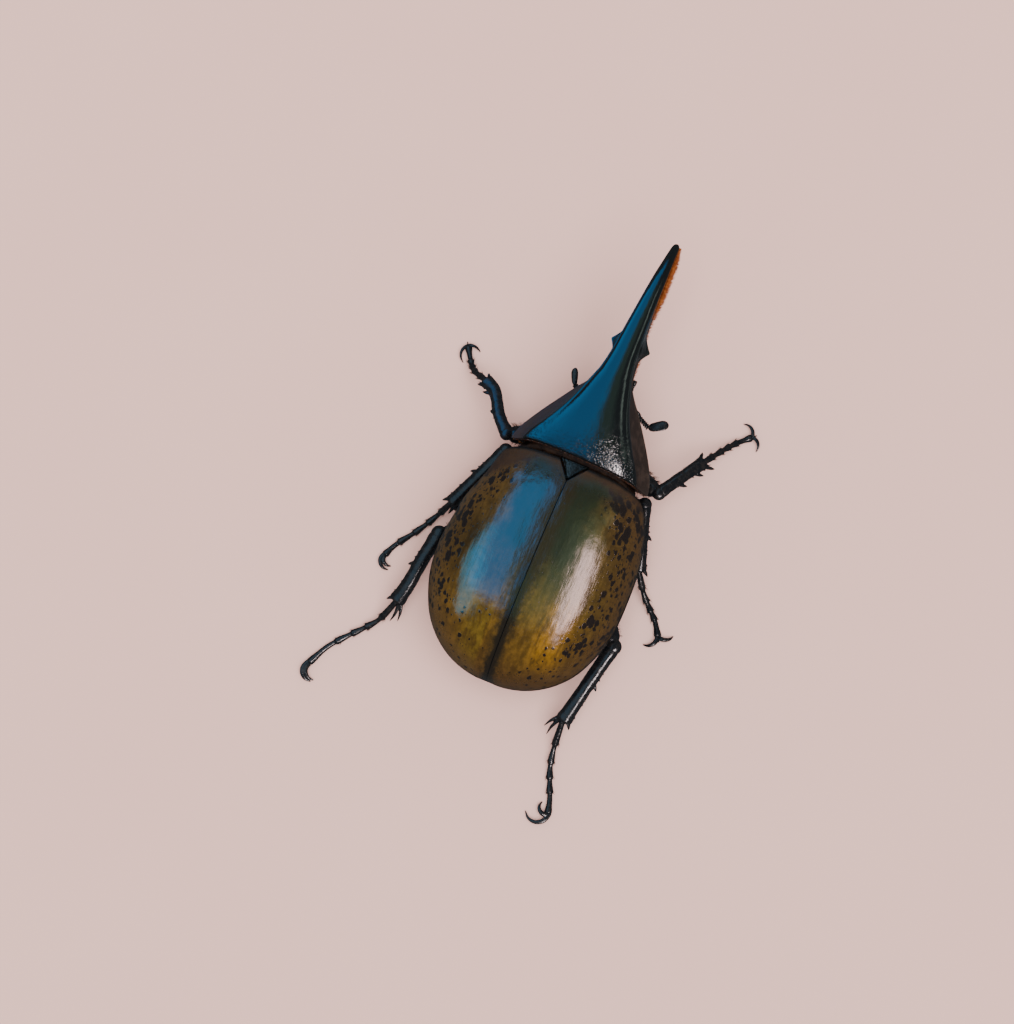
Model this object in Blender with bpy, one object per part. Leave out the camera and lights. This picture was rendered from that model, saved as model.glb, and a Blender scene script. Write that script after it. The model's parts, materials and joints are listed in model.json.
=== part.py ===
"""A male hercules beetle at life size, standing still on a level surface.

Sizes are in millimetres and are written in the body frame: X to the beetle's right, Y forward,
Z up from the floor, with the elytra starting at Y = 0. The pose empty turns the beetle to face -Y
and puts the origin on the floor under the middle of its bounding box.
"""

import math

import bmesh
import bpy
from mathutils import Matrix, Vector

MM = 0.001
GAP = 0.3  # between neighbouring pieces

# Stance of the prothorax on the hind body
PROTHORAX_YAW = -1.6  # degrees, to the beetle's right
PROTHORAX_PIVOT_Y = -3.0
PROTHORAX_SHIFT = 0.4

# Elytra
ELYTRA_LENGTH = 44.3
ELYTRA_HALF_WIDTH = 19.0
ELYTRA_SHOULDER_HALF_WIDTH = 14.4
ELYTRA_WIDEST_Y = -22.0
ELYTRA_CROWN_Z = 24.9
ELYTRA_CROWN_Y = -18.0
ELYTRA_BASE_Z = 20.8
ELYTRA_APEX_HALF_WIDTH = 2.4
ELYTRA_THICKNESS = 0.9
SHOULDER_DROP = 1.7  # how far the shoulder lies behind the middle of the base
SHOULDER_REACH = 9.0

# Hind body under the elytra
WAIST_Y = -21.5
ABDOMEN_END_Y = -42.9

# Scutellum
SCUTELLUM_HALF_WIDTH = 2.9
SCUTELLUM_LENGTH = 3.8
SCUTELLUM_FRONT_Y = 0.35
SCUTELLUM_THICKNESS = 0.8

# Prothorax and thoracic horn
PRONOTUM_BASE_Y = 1.0
PRONOTUM_CORNER_SWEEP = 0.5
PROTHORAX_FRONT_Y = 12.6
HORN_ROOT_Y = 16.0
HORN_TIP_Y = 47.2
HORN_TOOTH_Y = 24.6
HORN_TOOTH_REACH = 4.0
HORN_TOOTH_Z = 20.0

# Head
HEAD_BACK_Y = PROTHORAX_FRONT_Y + 0.3 + GAP
EYE_RADIUS = 1.25
EYE_CENTRE = (4.75, 14.6, 12.0)

LEG_SIDES = 8
CLAW_SIDES = 5
CLAW_TIP_Z = 0.25


class Profile:
    """A smooth curve through a few (place, size) pairs, with no overshoot between them."""

    def __init__(self, *pairs):
        self.pairs = sorted(pairs)
        steps = list(zip(self.pairs, self.pairs[1:]))
        slopes = [(b[1] - a[1]) / (b[0] - a[0]) for a, b in steps]
        inner = [
            0.0 if p * q <= 0 else 2 * p * q / (p + q) for p, q in zip(slopes, slopes[1:])
        ]
        self.slopes = [slopes[0], *inner, slopes[-1]]

    def __call__(self, place):
        first, last = self.pairs[0], self.pairs[-1]
        place = min(max(place, first[0]), last[0])
        index = 0
        while index < len(self.pairs) - 2 and place > self.pairs[index + 1][0]:
            index += 1
        (x0, y0), (x1, y1) = self.pairs[index], self.pairs[index + 1]
        width = x1 - x0
        t = (place - x0) / width
        start, end = self.slopes[index] * width, self.slopes[index + 1] * width
        return (
            y0 * (2 * t**3 - 3 * t**2 + 1)
            + start * (t**3 - 2 * t**2 + t)
            + y1 * (3 * t**2 - 2 * t**3)
            + end * (t**3 - t**2)
        )


ELYTRA_MARGIN_Z = Profile((0, 14.2), (-8, 12.7), (-20, 11.9), (-44.3, 11.2))
BELLY_Z = Profile((0.6, 9.0), (-4, 6.9), (-10, 6.1), (-20, 5.9), (-31, 6.6), (-38, 8.0), (-42.9, 10.4))

PRONOTUM_EDGE = Profile((0.4, 14.5), (2.5, 14.0), (5, 12.8), (8, 10.95), (11, 8.75), (14, 6.4), (16, 4.7),
                        (18, 3.45), (21, 2.9), (25, 2.5), (29, 2.1), (34, 1.75), (39, 1.4), (43, 1.05),
                        (46, 0.82), (47.2, 0.5))
PRONOTUM_RIDGE = Profile((0.4, 12.0), (2.5, 11.0), (5, 9.3), (8, 7.4), (11, 5.8), (14, 4.6), (16, 3.9),
                         (18, 3.2), (21, 2.5), (25, 2.1), (29, 1.8), (34, 1.5), (39, 1.2), (43, 0.88),
                         (46, 0.68), (47.2, 0.4))
PRONOTUM_CROWN_Z = Profile((0.4, 21.7), (5, 24.0), (11, 26.1), (16, 27.0), (21, 27.4), (27, 27.1),
                           (33, 26.0), (38, 24.3), (43, 21.9), (47.2, 18.9))
PRONOTUM_RIDGE_Z = Profile((0.4, 17.9), (5, 20.8), (11, 23.7), (16, 25.0), (21, 25.6), (27, 25.5),
                           (33, 24.6), (38, 23.1), (43, 21.0), (47.2, 18.6))
PRONOTUM_EDGE_Z = Profile((0.4, 13.6), (5, 13.7), (8, 14.5), (11, 16.1), (16, 19.3), (21, 21.0), (27, 21.4),
                          (33, 21.7), (38, 21.2), (43, 19.7), (47.2, 17.8))
PROSTERNUM_Z = Profile((0.4, 8.2), (2.5, 6.6), (5, 5.9), (8, 5.9), (11, 6.7), (12.6, 7.8))
HORN_UNDER_Z = Profile((12.9, 16.2), (16, 17.2), (21, 18.6), (27, 19.7), (33, 20.3), (38, 20.1), (43, 18.9),
                       (47.2, 17.3))

HEAD_HALF_WIDTH = Profile((13.2, 5.0), (14.5, 5.1), (16, 4.1), (17.5, 3.0), (19.2, 2.4))
HEAD_TOP_Z = Profile((13.2, 15.0), (15, 15.1), (17.5, 14.2), (19.2, 12.6))
HEAD_UNDER_Z = Profile((13.2, 8.6), (15, 8.9), (17.5, 9.6), (19.2, 10.6))


def elytra_half_width(y):
    """Half the width over both elytra at a row that starts at y on the suture."""
    if y < ELYTRA_WIDEST_Y:
        back = (ELYTRA_WIDEST_Y - y) / (ELYTRA_LENGTH + ELYTRA_WIDEST_Y)
        back = min(back, 0.999)
        return max(ELYTRA_APEX_HALF_WIDTH, ELYTRA_HALF_WIDTH * (1 - back**2.2) ** (1 / 2.2))
    ahead = 1 - y / ELYTRA_WIDEST_Y
    return ELYTRA_HALF_WIDTH - (ELYTRA_HALF_WIDTH - ELYTRA_SHOULDER_HALF_WIDTH) * ahead**2.6


def elytra_crown_z(y):
    """Height of the suture above the floor."""
    if y < ELYTRA_CROWN_Y:
        back = min((ELYTRA_CROWN_Y - y) / (ELYTRA_LENGTH + ELYTRA_CROWN_Y), 1)
        margin = ELYTRA_MARGIN_Z(y) + 0.5
        return margin + (ELYTRA_CROWN_Z - margin) * (1 - back**2.3) ** (1 / 2.3)
    ahead = 1 - y / ELYTRA_CROWN_Y
    return ELYTRA_CROWN_Z - (ELYTRA_CROWN_Z - ELYTRA_BASE_Z) * ahead**2


def arch(half_width, crown_z, margin_z, angle):
    """A point (x, z) of an elytra cross-section, from the crown at 0 to the margin at 90 degrees."""
    turn = math.radians(angle)
    return (
        half_width * math.sin(turn) ** 0.87,
        margin_z + (crown_z - margin_z) * max(math.cos(turn), 0) ** 0.87,
    )


def metres(points):
    return [Vector(point) * MM for point in points]


def new_object(name, bm, material=None):
    """Makes an object of a bmesh, with its normals out and round faces smooth."""
    bmesh.ops.recalc_face_normals(bm, faces=bm.faces)
    mesh = bpy.data.meshes.new(name)
    bm.to_mesh(mesh)
    bm.free()
    mesh.shade_smooth()
    mesh.set_sharp_from_angle(angle=math.radians(50))
    if material:
        mesh.materials.append(material)
    made = bpy.data.objects.new(name, mesh)
    bpy.context.scene.collection.objects.link(made)
    return made


def loft(name, rings, material=None):
    """A closed body through rings of equally many points. Each end cap is a ladder across its ring."""
    bm = bmesh.new()
    loops = [[bm.verts.new(point) for point in metres(ring)] for ring in rings]
    count = len(loops[0])
    for a, b in zip(loops, loops[1:]):
        for i in range(count):
            j = (i + 1) % count
            bm.faces.new((a[i], a[j], b[j], b[i]))
    for cap in (loops[0], loops[-1]):
        for i in range(count // 2 - 1):
            bm.faces.new((cap[i], cap[i + 1], cap[count - 2 - i], cap[count - 1 - i]))
        if count % 2:
            middle = count // 2
            bm.faces.new((cap[middle - 1], cap[middle], cap[middle + 1]))
    return new_object(name, bm, material)


def along(points, fraction):
    """The place at a fraction of a smooth path through points."""
    points = [Vector(point) for point in points]
    spans = len(points) - 1
    index = min(int(fraction * spans), spans - 1)
    t = fraction * spans - index
    p1, p2 = points[index], points[index + 1]
    p0 = points[index - 1] if index else 2 * p1 - p2
    p3 = points[index + 2] if index + 2 <= spans else 2 * p2 - p1
    return 0.5 * (
        2 * p1
        + (p2 - p0) * t
        + (2 * p0 - 5 * p1 + 4 * p2 - p3) * t**2
        + (3 * p1 - p0 - 3 * p2 + p3) * t**3
    )


def tube(name, points, sections, sides, material=None):
    """A closed tube along a path. Sections are (fraction, half width, half height) along it."""
    rings = []
    for fraction, half_width, half_height in sections:
        centre = along(points, fraction)
        ahead = along(points, min(fraction + 0.02, 1)) - along(points, max(fraction - 0.02, 0))
        side = ahead.cross(Vector((0, 0, 1))).normalized()
        up = side.cross(ahead).normalized()
        turns = [2 * math.pi * (k + 0.5) / sides for k in range(sides)]
        rings.append(
            [centre + side * half_width * math.sin(a) + up * half_height * math.cos(a) for a in turns]
        )
    return loft(name, rings, material)


def ball(name, centre, radii, material=None, segments=12, rings=8):
    """A closed ellipsoid."""
    bm = bmesh.new()
    bmesh.ops.create_uvsphere(bm, u_segments=segments, v_segments=rings, radius=1)
    place = Matrix.Translation(Vector(centre) * MM) @ Matrix.Diagonal([r * MM for r in radii] + [1])
    bm.transform(place)
    return new_object(name, bm, material)


def spine(root, tip, half_width, half_height=None, sides=5):
    """A tapered spine from a root sunk in its node to its tip."""
    mid = Vector(root).lerp(Vector(tip), 0.5)
    half_height = half_height or half_width
    sections = [(0, half_width, half_height), (0.55, half_width * 0.6, half_height * 0.6), (1, 0.09, 0.09)]
    return tube("spine", [root, mid, tip], sections, sides)


def prothorax_stance():
    """The small turn and shift of the prothorax on the hind body."""
    pivot = Matrix.Translation(Vector((0, PROTHORAX_PIVOT_Y, 0)) * MM)
    yaw = Matrix.Rotation(math.radians(PROTHORAX_YAW), 4, "Z")
    shift = Matrix.Translation(Vector((PROTHORAX_SHIFT, 0, 0)) * MM)
    return shift @ pivot @ yaw @ pivot.inverted()


def boolean(body, others, operation):
    """Joins the other objects to the body, or cuts them from it, and removes them."""
    group = bpy.data.collections.new("operands")
    bpy.context.scene.collection.children.link(group)
    for other in others:
        group.objects.link(other)
    modifier = body.modifiers.new(operation.title(), "BOOLEAN")
    modifier.operation = operation
    modifier.operand_type = "COLLECTION"
    modifier.collection = group
    modifier.use_self = operation == "UNION" and len(others) > 1
    bpy.context.view_layer.update()
    graph = bpy.context.evaluated_depsgraph_get()
    joined = bpy.data.meshes.new_from_object(body.evaluated_get(graph))
    body.modifiers.clear()
    body.data = joined
    for other in others:
        bpy.data.objects.remove(other)
    bpy.data.collections.remove(group)
    keep_largest(body.data)
    return body


def keep_largest(mesh):
    """Keeps the largest closed surface and welds what a Boolean leaves a hair apart."""
    bm = bmesh.new()
    bm.from_mesh(mesh)
    bmesh.ops.remove_doubles(bm, verts=bm.verts, dist=0.002 * MM)
    left, groups = set(bm.verts), []
    while left:
        front = [left.pop()]
        group = set(front)
        while front:
            vert = front.pop()
            near = {edge.other_vert(vert) for edge in vert.link_edges} - group
            group |= near
            front.extend(near)
        left -= group
        groups.append(group)
    groups.sort(key=len)
    for group in groups[:-1]:
        bmesh.ops.delete(bm, geom=list(group), context="VERTS")
    bm.to_mesh(mesh)
    bm.free()


def finish(name, colour, roughness, metallic=0.0, coat=0.0):
    """A material of one colour, as the hard skin of this part of the beetle is."""
    material = bpy.data.materials.new(name)
    material.use_nodes = True
    shader = material.node_tree.nodes["Principled BSDF"]
    shader.inputs["Base Color"].default_value = (*colour, 1)
    shader.inputs["Roughness"].default_value = roughness
    shader.inputs["Metallic"].default_value = metallic
    shader.inputs["Coat Weight"].default_value = coat
    material.diffuse_color = (*colour, 1)
    return material


def scutellum_half(y, clearance=0.0):
    """Half the width of the scutellum, or of the notch between the elytra that clears it."""
    share = 1 + (y - SCUTELLUM_FRONT_Y) / (SCUTELLUM_LENGTH + 2 * clearance)
    return (SCUTELLUM_HALF_WIDTH + 1.4 * clearance) * max(0, share)


def elytron(side, material):
    """One wing cover: a curved shell with a rounded shoulder, side +1 for the right one."""
    rows = [0, -1.2, -3, -5.5, -9, -14, -19.5, -25, -30, -34.5, -38, -40.8, -42.6, -43.7, -44.2]
    columns = 9
    rings = []
    for y in rows:
        width, crown, margin = elytra_half_width(y), elytra_crown_z(y), ELYTRA_MARGIN_Z(y)
        inner_width, inner_crown = width - ELYTRA_THICKNESS, crown - ELYTRA_THICKNESS
        inner_y = y * (1 - ELYTRA_THICKNESS / ELYTRA_LENGTH)
        sweep = SHOULDER_DROP * max(0, 1 + y / SHOULDER_REACH) ** 2
        start = max(GAP / 2, scutellum_half(y, GAP))
        ring = []
        for outside in (True, False):
            half, top = (width, crown) if outside else (inner_width, inner_crown)
            first = math.degrees(math.asin(min(1, start / half) ** (1 / 0.87)))
            angles = [first + (90 - first) * k / columns for k in range(columns + 1)]
            for angle in angles if outside else reversed(angles):
                x, z = arch(half, top, margin, angle)
                back = sweep * (x / half) ** 4
                ring.append((side * x, (y if outside else inner_y) - back, z))
        rings.append(ring)
    name = "elytron_right" if side > 0 else "elytron_left"
    return loft(name, rings, material)


def hind_body_ring(y, shrink=0.0):
    """A section of the body under the elytra, from the crown round to the belly and back."""
    cover = ELYTRA_THICKNESS + GAP + 0.1 + shrink
    row = y * (1 + (ELYTRA_THICKNESS + GAP) / ELYTRA_LENGTH)
    width, crown, margin = elytra_half_width(row) - cover, elytra_crown_z(row) - cover, ELYTRA_MARGIN_Z(y)
    belly = BELLY_Z(y)
    top = [arch(width, crown, margin, angle) for angle in (0, 12, 25, 38, 51, 64, 77, 90)]
    under = []
    for share in (0.93, 0.8, 0.62, 0.42, 0.2, 0):
        under.append((width * share, margin - (margin - belly) * (1 - share**2)))
    right = top + under
    left = [(-x, z) for x, z in reversed(right[1:-1])]
    sweep = SHOULDER_DROP * max(0, 1 + y / SHOULDER_REACH) ** 2
    return [(x, y - sweep * (x / width) ** 4, z) for x, z in right + left]


def hind_thorax(material):
    """The middle and hind thorax in one piece, with a neck that meets the prothorax."""
    lean = math.tan(math.radians(PROTHORAX_YAW))
    neck = []
    for x, _, z in hind_body_ring(-0.3):
        narrow = 0.68 * x
        neck.append((narrow, PRONOTUM_BASE_Y - GAP - 0.05 + lean * narrow, 14 + 0.78 * (z - 14)))
    rings = [neck]
    rings += [hind_body_ring(y) for y in (-0.3, -2.5, -6, -11, -16, WAIST_Y + GAP / 2)]
    return loft("hind_thorax", rings, material)


def abdomen(material):
    """The abdomen, with a step at the hind edge of each plate under the belly."""
    plates = [WAIST_Y - GAP / 2, -26.0, -30.0, -33.6, -36.8, -39.6, ABDOMEN_END_Y]
    rings = []
    for start, end in zip(plates, plates[1:]):
        rings.append(hind_body_ring(start - 0.1, shrink=0.25))
        rings.append(hind_body_ring(end + 0.5))
    tip = hind_body_ring(ABDOMEN_END_Y, shrink=0.6)
    rings.append([(x * 0.9, y, z) for x, y, z in tip])
    return loft("abdomen", rings, material)


def scutellum(material):
    """The small triangular plate between the elytra bases."""
    bm = bmesh.new()
    places = [SCUTELLUM_FRONT_Y - share * SCUTELLUM_LENGTH for share in (0, 0.3, 0.6, 0.8)]
    right = [(scutellum_half(y), y) for y in places]
    tip = (0, SCUTELLUM_FRONT_Y - 0.93 * SCUTELLUM_LENGTH)
    outline = [*right, tip, *[(-x, y) for x, y in reversed(right)]]
    face = bm.faces.new([bm.verts.new((x * MM, y * MM, 0)) for x, y in outline])
    made = bmesh.ops.extrude_face_region(bm, geom=[face])
    raised = [v for v in made["geom"] if isinstance(v, bmesh.types.BMVert)]
    for vert in bm.verts:
        top = elytra_crown_z(vert.co.y / MM) - 0.05
        vert.co.z = (top if vert in raised else top - SCUTELLUM_THICKNESS) * MM
    return new_object("scutellum", bm, material)


def prothorax_ring(y, under_z, under_share=1.0):
    """A section of the prothorax or horn: disc, lateral ridge, flank, edge and underside."""
    edge, ridge = PRONOTUM_EDGE(y), PRONOTUM_RIDGE(y)
    crown_z, ridge_z, edge_z = PRONOTUM_CROWN_Z(y), PRONOTUM_RIDGE_Z(y), PRONOTUM_EDGE_Z(y)
    bead = min(0.35, 0.12 * (crown_z - under_z), 0.25 * (edge_z - under_z))
    flank = edge - ridge
    right = [
        (0, crown_z),
        (0.38 * ridge, crown_z - 0.09 * (crown_z - ridge_z)),
        (0.70 * ridge, crown_z - 0.37 * (crown_z - ridge_z)),
        (0.90 * ridge, crown_z - 0.72 * (crown_z - ridge_z)),
        (ridge, ridge_z),
        (ridge + 0.42 * flank, ridge_z - 0.55 * (ridge_z - edge_z)),
        (edge - 0.1 * flank, edge_z + bead),
        (edge, edge_z),
        (edge - 0.06 * edge, edge_z - bead),
        (0.84 * edge * under_share, edge_z - 0.30 * (edge_z - under_z)),
        (0.62 * edge * under_share, edge_z - 0.74 * (edge_z - under_z)),
        (0.30 * edge * under_share, under_z + 0.06 * (edge_z - under_z)),
        (0, under_z),
    ]
    left = [(-x, z) for x, z in reversed(right[1:-1])]
    return [(x, y, z) for x, z in right + left]


def pronotum(material):
    """The prothorax: the shield above, the breast below, and the root of the thoracic horn."""
    back = prothorax_ring(PRONOTUM_BASE_Y, PROSTERNUM_Z(PRONOTUM_BASE_Y))
    half = PRONOTUM_EDGE(PRONOTUM_BASE_Y)
    rings = [
        [(0.82 * x, y, 14 + 0.82 * (z - 14)) for x, y, z in back],
        [(x, y - PRONOTUM_CORNER_SWEEP * (x / half) ** 4, z) for x, y, z in back],
    ]
    rings += [prothorax_ring(y, PROSTERNUM_Z(y)) for y in (2.4, 4.6, 7.2, 10.0, PROTHORAX_FRONT_Y)]
    for y in (PROTHORAX_FRONT_Y + 0.3, 14.4, HORN_ROOT_Y - GAP / 2):
        rings.append(prothorax_ring(y, HORN_UNDER_Z(y)))
    return loft("pronotum", rings, material)


def thoracic_horn(material):
    """The long upper horn, arched down to its tip, with one tooth on each side."""
    places = (HORN_ROOT_Y + GAP / 2, 18, 20.5, 23.5, 26.5, 30, 34, 38, 41.5, 44.5, 46.4, HORN_TIP_Y)
    horn = loft("thoracic_horn", [prothorax_ring(y, HORN_UNDER_Z(y)) for y in places], material)
    teeth = []
    for side in (1, -1):
        root = (side * 1.2, HORN_TOOTH_Y - 1.1, HORN_TOOTH_Z + 1.2)
        tip = (side * HORN_TOOTH_REACH, HORN_TOOTH_Y, HORN_TOOTH_Z - 0.1)
        teeth.append(spine(root, tip, 2.8, 1.1, sides=6))
    return boolean(horn, teeth, "UNION")


HEAD_HORN_PATH = [(0, 16.9, 14.6), (0, 19.8, 14.2), (0, 23.5, 13.3), (0, 27.5, 13.2), (0, 31.5, 14.5),
                  (0, 34.6, 16.7), (0, 36.4, 18.7)]
HEAD_HORN_SECTIONS = [(0, 1.35, 1.25), (0.15, 1.35, 1.35), (0.35, 1.2, 1.3), (0.55, 1.05, 1.15),
                      (0.75, 0.85, 0.95), (0.9, 0.65, 0.7), (1, 0.3, 0.3)]


def grown(sections, clearance):
    """The sections of a tube that clears another by a distance."""
    return [(place, width + clearance, height + clearance) for place, width, height in sections]


def head_ring(y):
    """A section of the head."""
    half, top, under = HEAD_HALF_WIDTH(y), HEAD_TOP_Z(y), HEAD_UNDER_Z(y)
    middle, depth = (top + under) / 2, (top - under) / 2
    ring = []
    for k in range(14):
        turn = 2 * math.pi * k / 14
        x = math.copysign(abs(math.sin(turn)) ** 0.8, math.sin(turn)) * half
        z = math.copysign(abs(math.cos(turn)) ** 0.8, math.cos(turn)) * depth
        ring.append((x, y, middle + z))
    return ring


def head(material):
    """The head capsule, with a socket for each eye."""
    places = (HEAD_BACK_Y, 14.2, 15.4, 16.8, 18.2, 19.0)
    capsule = loft("head", [head_ring(y) for y in places], material)
    x, y, z = EYE_CENTRE
    sockets = [ball("socket", (side * x, y, z), (EYE_RADIUS + 1.3 * GAP,) * 3) for side in (1, -1)]
    horn_path = [(0, HEAD_HORN_PATH[0][1] - GAP, HEAD_HORN_PATH[0][2]), *HEAD_HORN_PATH[1:]]
    horn = tube("socket", horn_path, grown(HEAD_HORN_SECTIONS, GAP), 10)
    return boolean(capsule, [*sockets, horn], "DIFFERENCE")


def eye(side, material):
    x, y, z = EYE_CENTRE
    name = "eye_right" if side > 0 else "eye_left"
    return ball(name, (side * x, y, z), (EYE_RADIUS,) * 3, material)


def head_horn(material):
    """The lower horn, curved up towards the upper one, with a tooth on its upper side."""
    horn = tube("head_horn", HEAD_HORN_PATH, HEAD_HORN_SECTIONS, 10, material)
    tooth = spine((0, 25.2, 13.2), (0, 26.4, 15.9), 0.6, 1.2)
    return boolean(horn, [tooth], "UNION")


def mandible(side, material):
    name = "mandible_right" if side > 0 else "mandible_left"
    path = [(side * 1.5, 19.15 + GAP, 11.3), (side * 1.75, 20.3, 11.2), (side * 1.45, 21.2, 11.4)]
    return tube(name, path, [(0, 0.75, 0.45), (0.5, 0.7, 0.4), (1, 0.25, 0.2)], 6, material)


def palp(side, material):
    """A jaw feeler under the head."""
    name = "palp_right" if side > 0 else "palp_left"
    path = [(side * 1.9, 17.2, 9.3), (side * 2.4, 18.2, 8.6), (side * 2.8, 19.8, 8.2),
            (side * 2.7, 21.4, 8.6)]
    sections = [(0, 0.3, 0.3), (0.3, 0.38, 0.38), (0.6, 0.36, 0.36), (0.85, 0.45, 0.45), (1, 0.2, 0.2)]
    return tube(name, path, sections, 6, material)


def antenna(side, path, club, material):
    """A feeler: scape and short joints, then a club of three leaves."""
    name = "antenna_right" if side > 0 else "antenna_left"
    sections = [(0, 0.3, 0.3), (0.2, 0.42, 0.42), (0.45, 0.34, 0.34), (0.75, 0.32, 0.32), (1, 0.4, 0.4)]
    stem = tube(name, path, sections, 6, material)
    root, tip = Vector(path[-1]), Vector(club)
    leaves = tube("club", [root, root.lerp(tip, 0.5), tip],
                  [(0, 0.45, 0.4), (0.25, 0.72, 0.6), (0.75, 0.78, 0.62), (1, 0.4, 0.35)], 8)
    return boolean(stem, [leaves], "UNION")


class Leg:
    """The places and sizes of one leg.

    A spine is (place along the shin, side, reach sideways, reach ahead), with side +1 to the right of
    the way the shin points. A claw is (start angle, turn, length): it leaves the foot at the start angle
    and curves on by the turn, both in degrees to the left seen from above. The left claw comes first.
    """

    def __init__(self, place, coxa, coxa_radii, hip, knee, ankle, foot, girth, spines, claws):
        self.place = place
        self.coxa = coxa
        self.coxa_radii = coxa_radii
        self.hip = hip
        self.knee = knee
        self.ankle = ankle
        self.foot = foot
        self.girth = girth
        self.spines = spines
        self.claws = claws


FORE_COXA_RADII = (3.3, 1.9, 2.1)
MIDDLE_COXA_RADII = (3.2, 1.9, 1.9)
HIND_COXA_RADII = (4.2, 1.9, 1.8)


def fore_spines(outer):
    """Three teeth along the outer edge and a spur inside."""
    teeth = [(0.4, outer, 0.8, 0.7), (0.68, outer, 0.9, 0.9), (0.96, outer, 1.0, 1.1)]
    return [*teeth, (0.96, -outer, 0.5, 1.2)]


def rear_spines(outer, tooth, spur):
    """One tooth along the outer edge, one at its end, and two spurs inside."""
    teeth = [(0.45, outer, 0.6, 0.7), (0.96, outer, 0.4, tooth)]
    return [*teeth, (0.93, -outer, 1.0, spur), (0.97, -outer, -0.3, spur)]


LEGS = [
    Leg("fore_left", (-5.0, 5.6, 6.2), FORE_COXA_RADII, (-8.2, 5.2, 5.5), (-15.3, 1.9, 9.0),
        (-23.1, 10.6, 6.4),
        [(-26.9, 12.6, 3.0), (-28.8, 14.4, 1.1), (-30.6, 16.7, 0.4)], 1.0,
        fore_spines(-1), [(115, 80, 4.0), (-105, -50, 2.8)]),
    Leg("fore_right", (5.0, 5.6, 6.2), FORE_COXA_RADII, (8.2, 5.2, 5.5), (16.2, 2.2, 9.0),
        (22.3, 12.0, 6.2),
        [(24.3, 15.4, 3.2), (26.4, 18.4, 1.1), (28.9, 20.9, 0.4)], 1.0,
        fore_spines(1), [(60, 80, 3.6), (-60, -80, 3.6)]),
    Leg("middle_left", (-5.5, -7.4, 6.3), MIDDLE_COXA_RADII, (-8.6, -6.8, 5.5), (-14.2, -1.0, 9.2),
        (-20.2, -13.4, 5.2),
        [(-22.6, -17.4, 2.4), (-25.3, -21.6, 0.9), (-28.3, -25.8, 0.4), (-29.6, -28.6, 0.4)], 1.0,
        rear_spines(1, 1.2, 1.4), [(35, 90, 2.9), (15, 100, 3.9)]),
    Leg("middle_right", (5.5, -7.4, 6.3), MIDDLE_COXA_RADII, (8.6, -6.8, 5.5), (14.6, -0.6, 9.2),
        (18.6, -13.0, 5.2),
        [(21.0, -16.3, 2.2), (23.2, -18.5, 0.9), (25.1, -20.4, 0.4), (26.7, -22.9, 0.4)], 1.0,
        rear_spines(-1, 1.2, 1.4), [(50, 70, 3.2), (-35, -80, 3.6)]),
    Leg("hind_left", (-6.6, -18.7, 6.5), HIND_COXA_RADII, (-10.8, -19.2, 5.6), (-19.9, -20.9, 9.0),
        (-23.3, -36.6, 4.4),
        [(-25.2, -40.7, 1.9), (-27.6, -43.6, 0.8), (-30.1, -46.3, 0.4), (-32.9, -49.8, 0.4),
         (-35.2, -54.2, 0.4)],
        1.15, rear_spines(1, 1.2, 3.7), [(25, 90, 3.5), (5, 105, 4.7)]),
    Leg("hind_right", (6.6, -18.7, 6.5), HIND_COXA_RADII, (10.8, -19.6, 5.6), (19.6, -28.2, 8.8),
        (15.9, -45.6, 4.4),
        [(16.2, -50.4, 1.9), (16.9, -54.3, 0.8), (18.1, -57.5, 0.4), (19.3, -60.4, 0.4),
         (20.0, -63.2, 0.4)],
        1.15, rear_spines(-1, 1.2, 3.7), [(-35, -115, 6.2), (-95, -115, 3.6)]),
]


def coxa(leg, material):
    return ball(f"coxa_{leg.place}", leg.coxa, leg.coxa_radii, material)


def coxa_socket(leg):
    return ball("socket", leg.coxa, [r + 1.2 * GAP for r in leg.coxa_radii])


def femur(leg, material):
    """The stout thigh, flattened, hollowed at the hip and at the knee to clear its neighbours."""
    g = leg.girth
    hip, knee = Vector(leg.hip), Vector(leg.knee)
    sections = [(0, 0.9 * g, 0.8 * g), (0.12, 1.5 * g, 1.15 * g), (0.4, 2.0 * g, 1.35 * g),
                (0.7, 1.8 * g, 1.3 * g), (0.9, 1.4 * g, 1.25 * g), (1, 0.7 * g, 0.7 * g)]
    thigh = tube(f"femur_{leg.place}", [hip, hip.lerp(knee, 0.5), knee], sections, LEG_SIDES, material)
    path = tibia_path(leg)
    root = path[0] + (path[0] - path[1]).normalized() * GAP
    shin = tube("socket", [root, *path[1:]], grown(tibia_sections(leg), 1.1 * GAP), LEG_SIDES)
    hip_socket = coxa_socket(leg)
    if leg.place.startswith("fore"):
        hip_socket.data.transform(prothorax_stance())
    return boolean(thigh, [hip_socket, shin], "DIFFERENCE")


def tibia_path(leg):
    """The shin starts a gap away from the end of the knee and bows a little up."""
    knee, ankle, hip = Vector(leg.knee), Vector(leg.ankle), Vector(leg.hip)
    outward = (ankle - knee).normalized() + (knee - hip).normalized()
    start = knee + outward.normalized() * 0.8 * leg.girth
    middle = start.lerp(ankle, 0.45) + Vector((0, 0, 0.45))
    return [start, middle, ankle]


def tibia_sections(leg):
    g = leg.girth
    return [(0, 0.7 * g, 0.7 * g), (0.08, 1.0 * g, 0.95 * g), (0.45, 1.25 * g, 1.05 * g),
            (0.85, 1.45 * g, 1.15 * g), (0.97, 1.6 * g, 1.2 * g), (1, 1.2 * g, 0.9 * g)]


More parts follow.
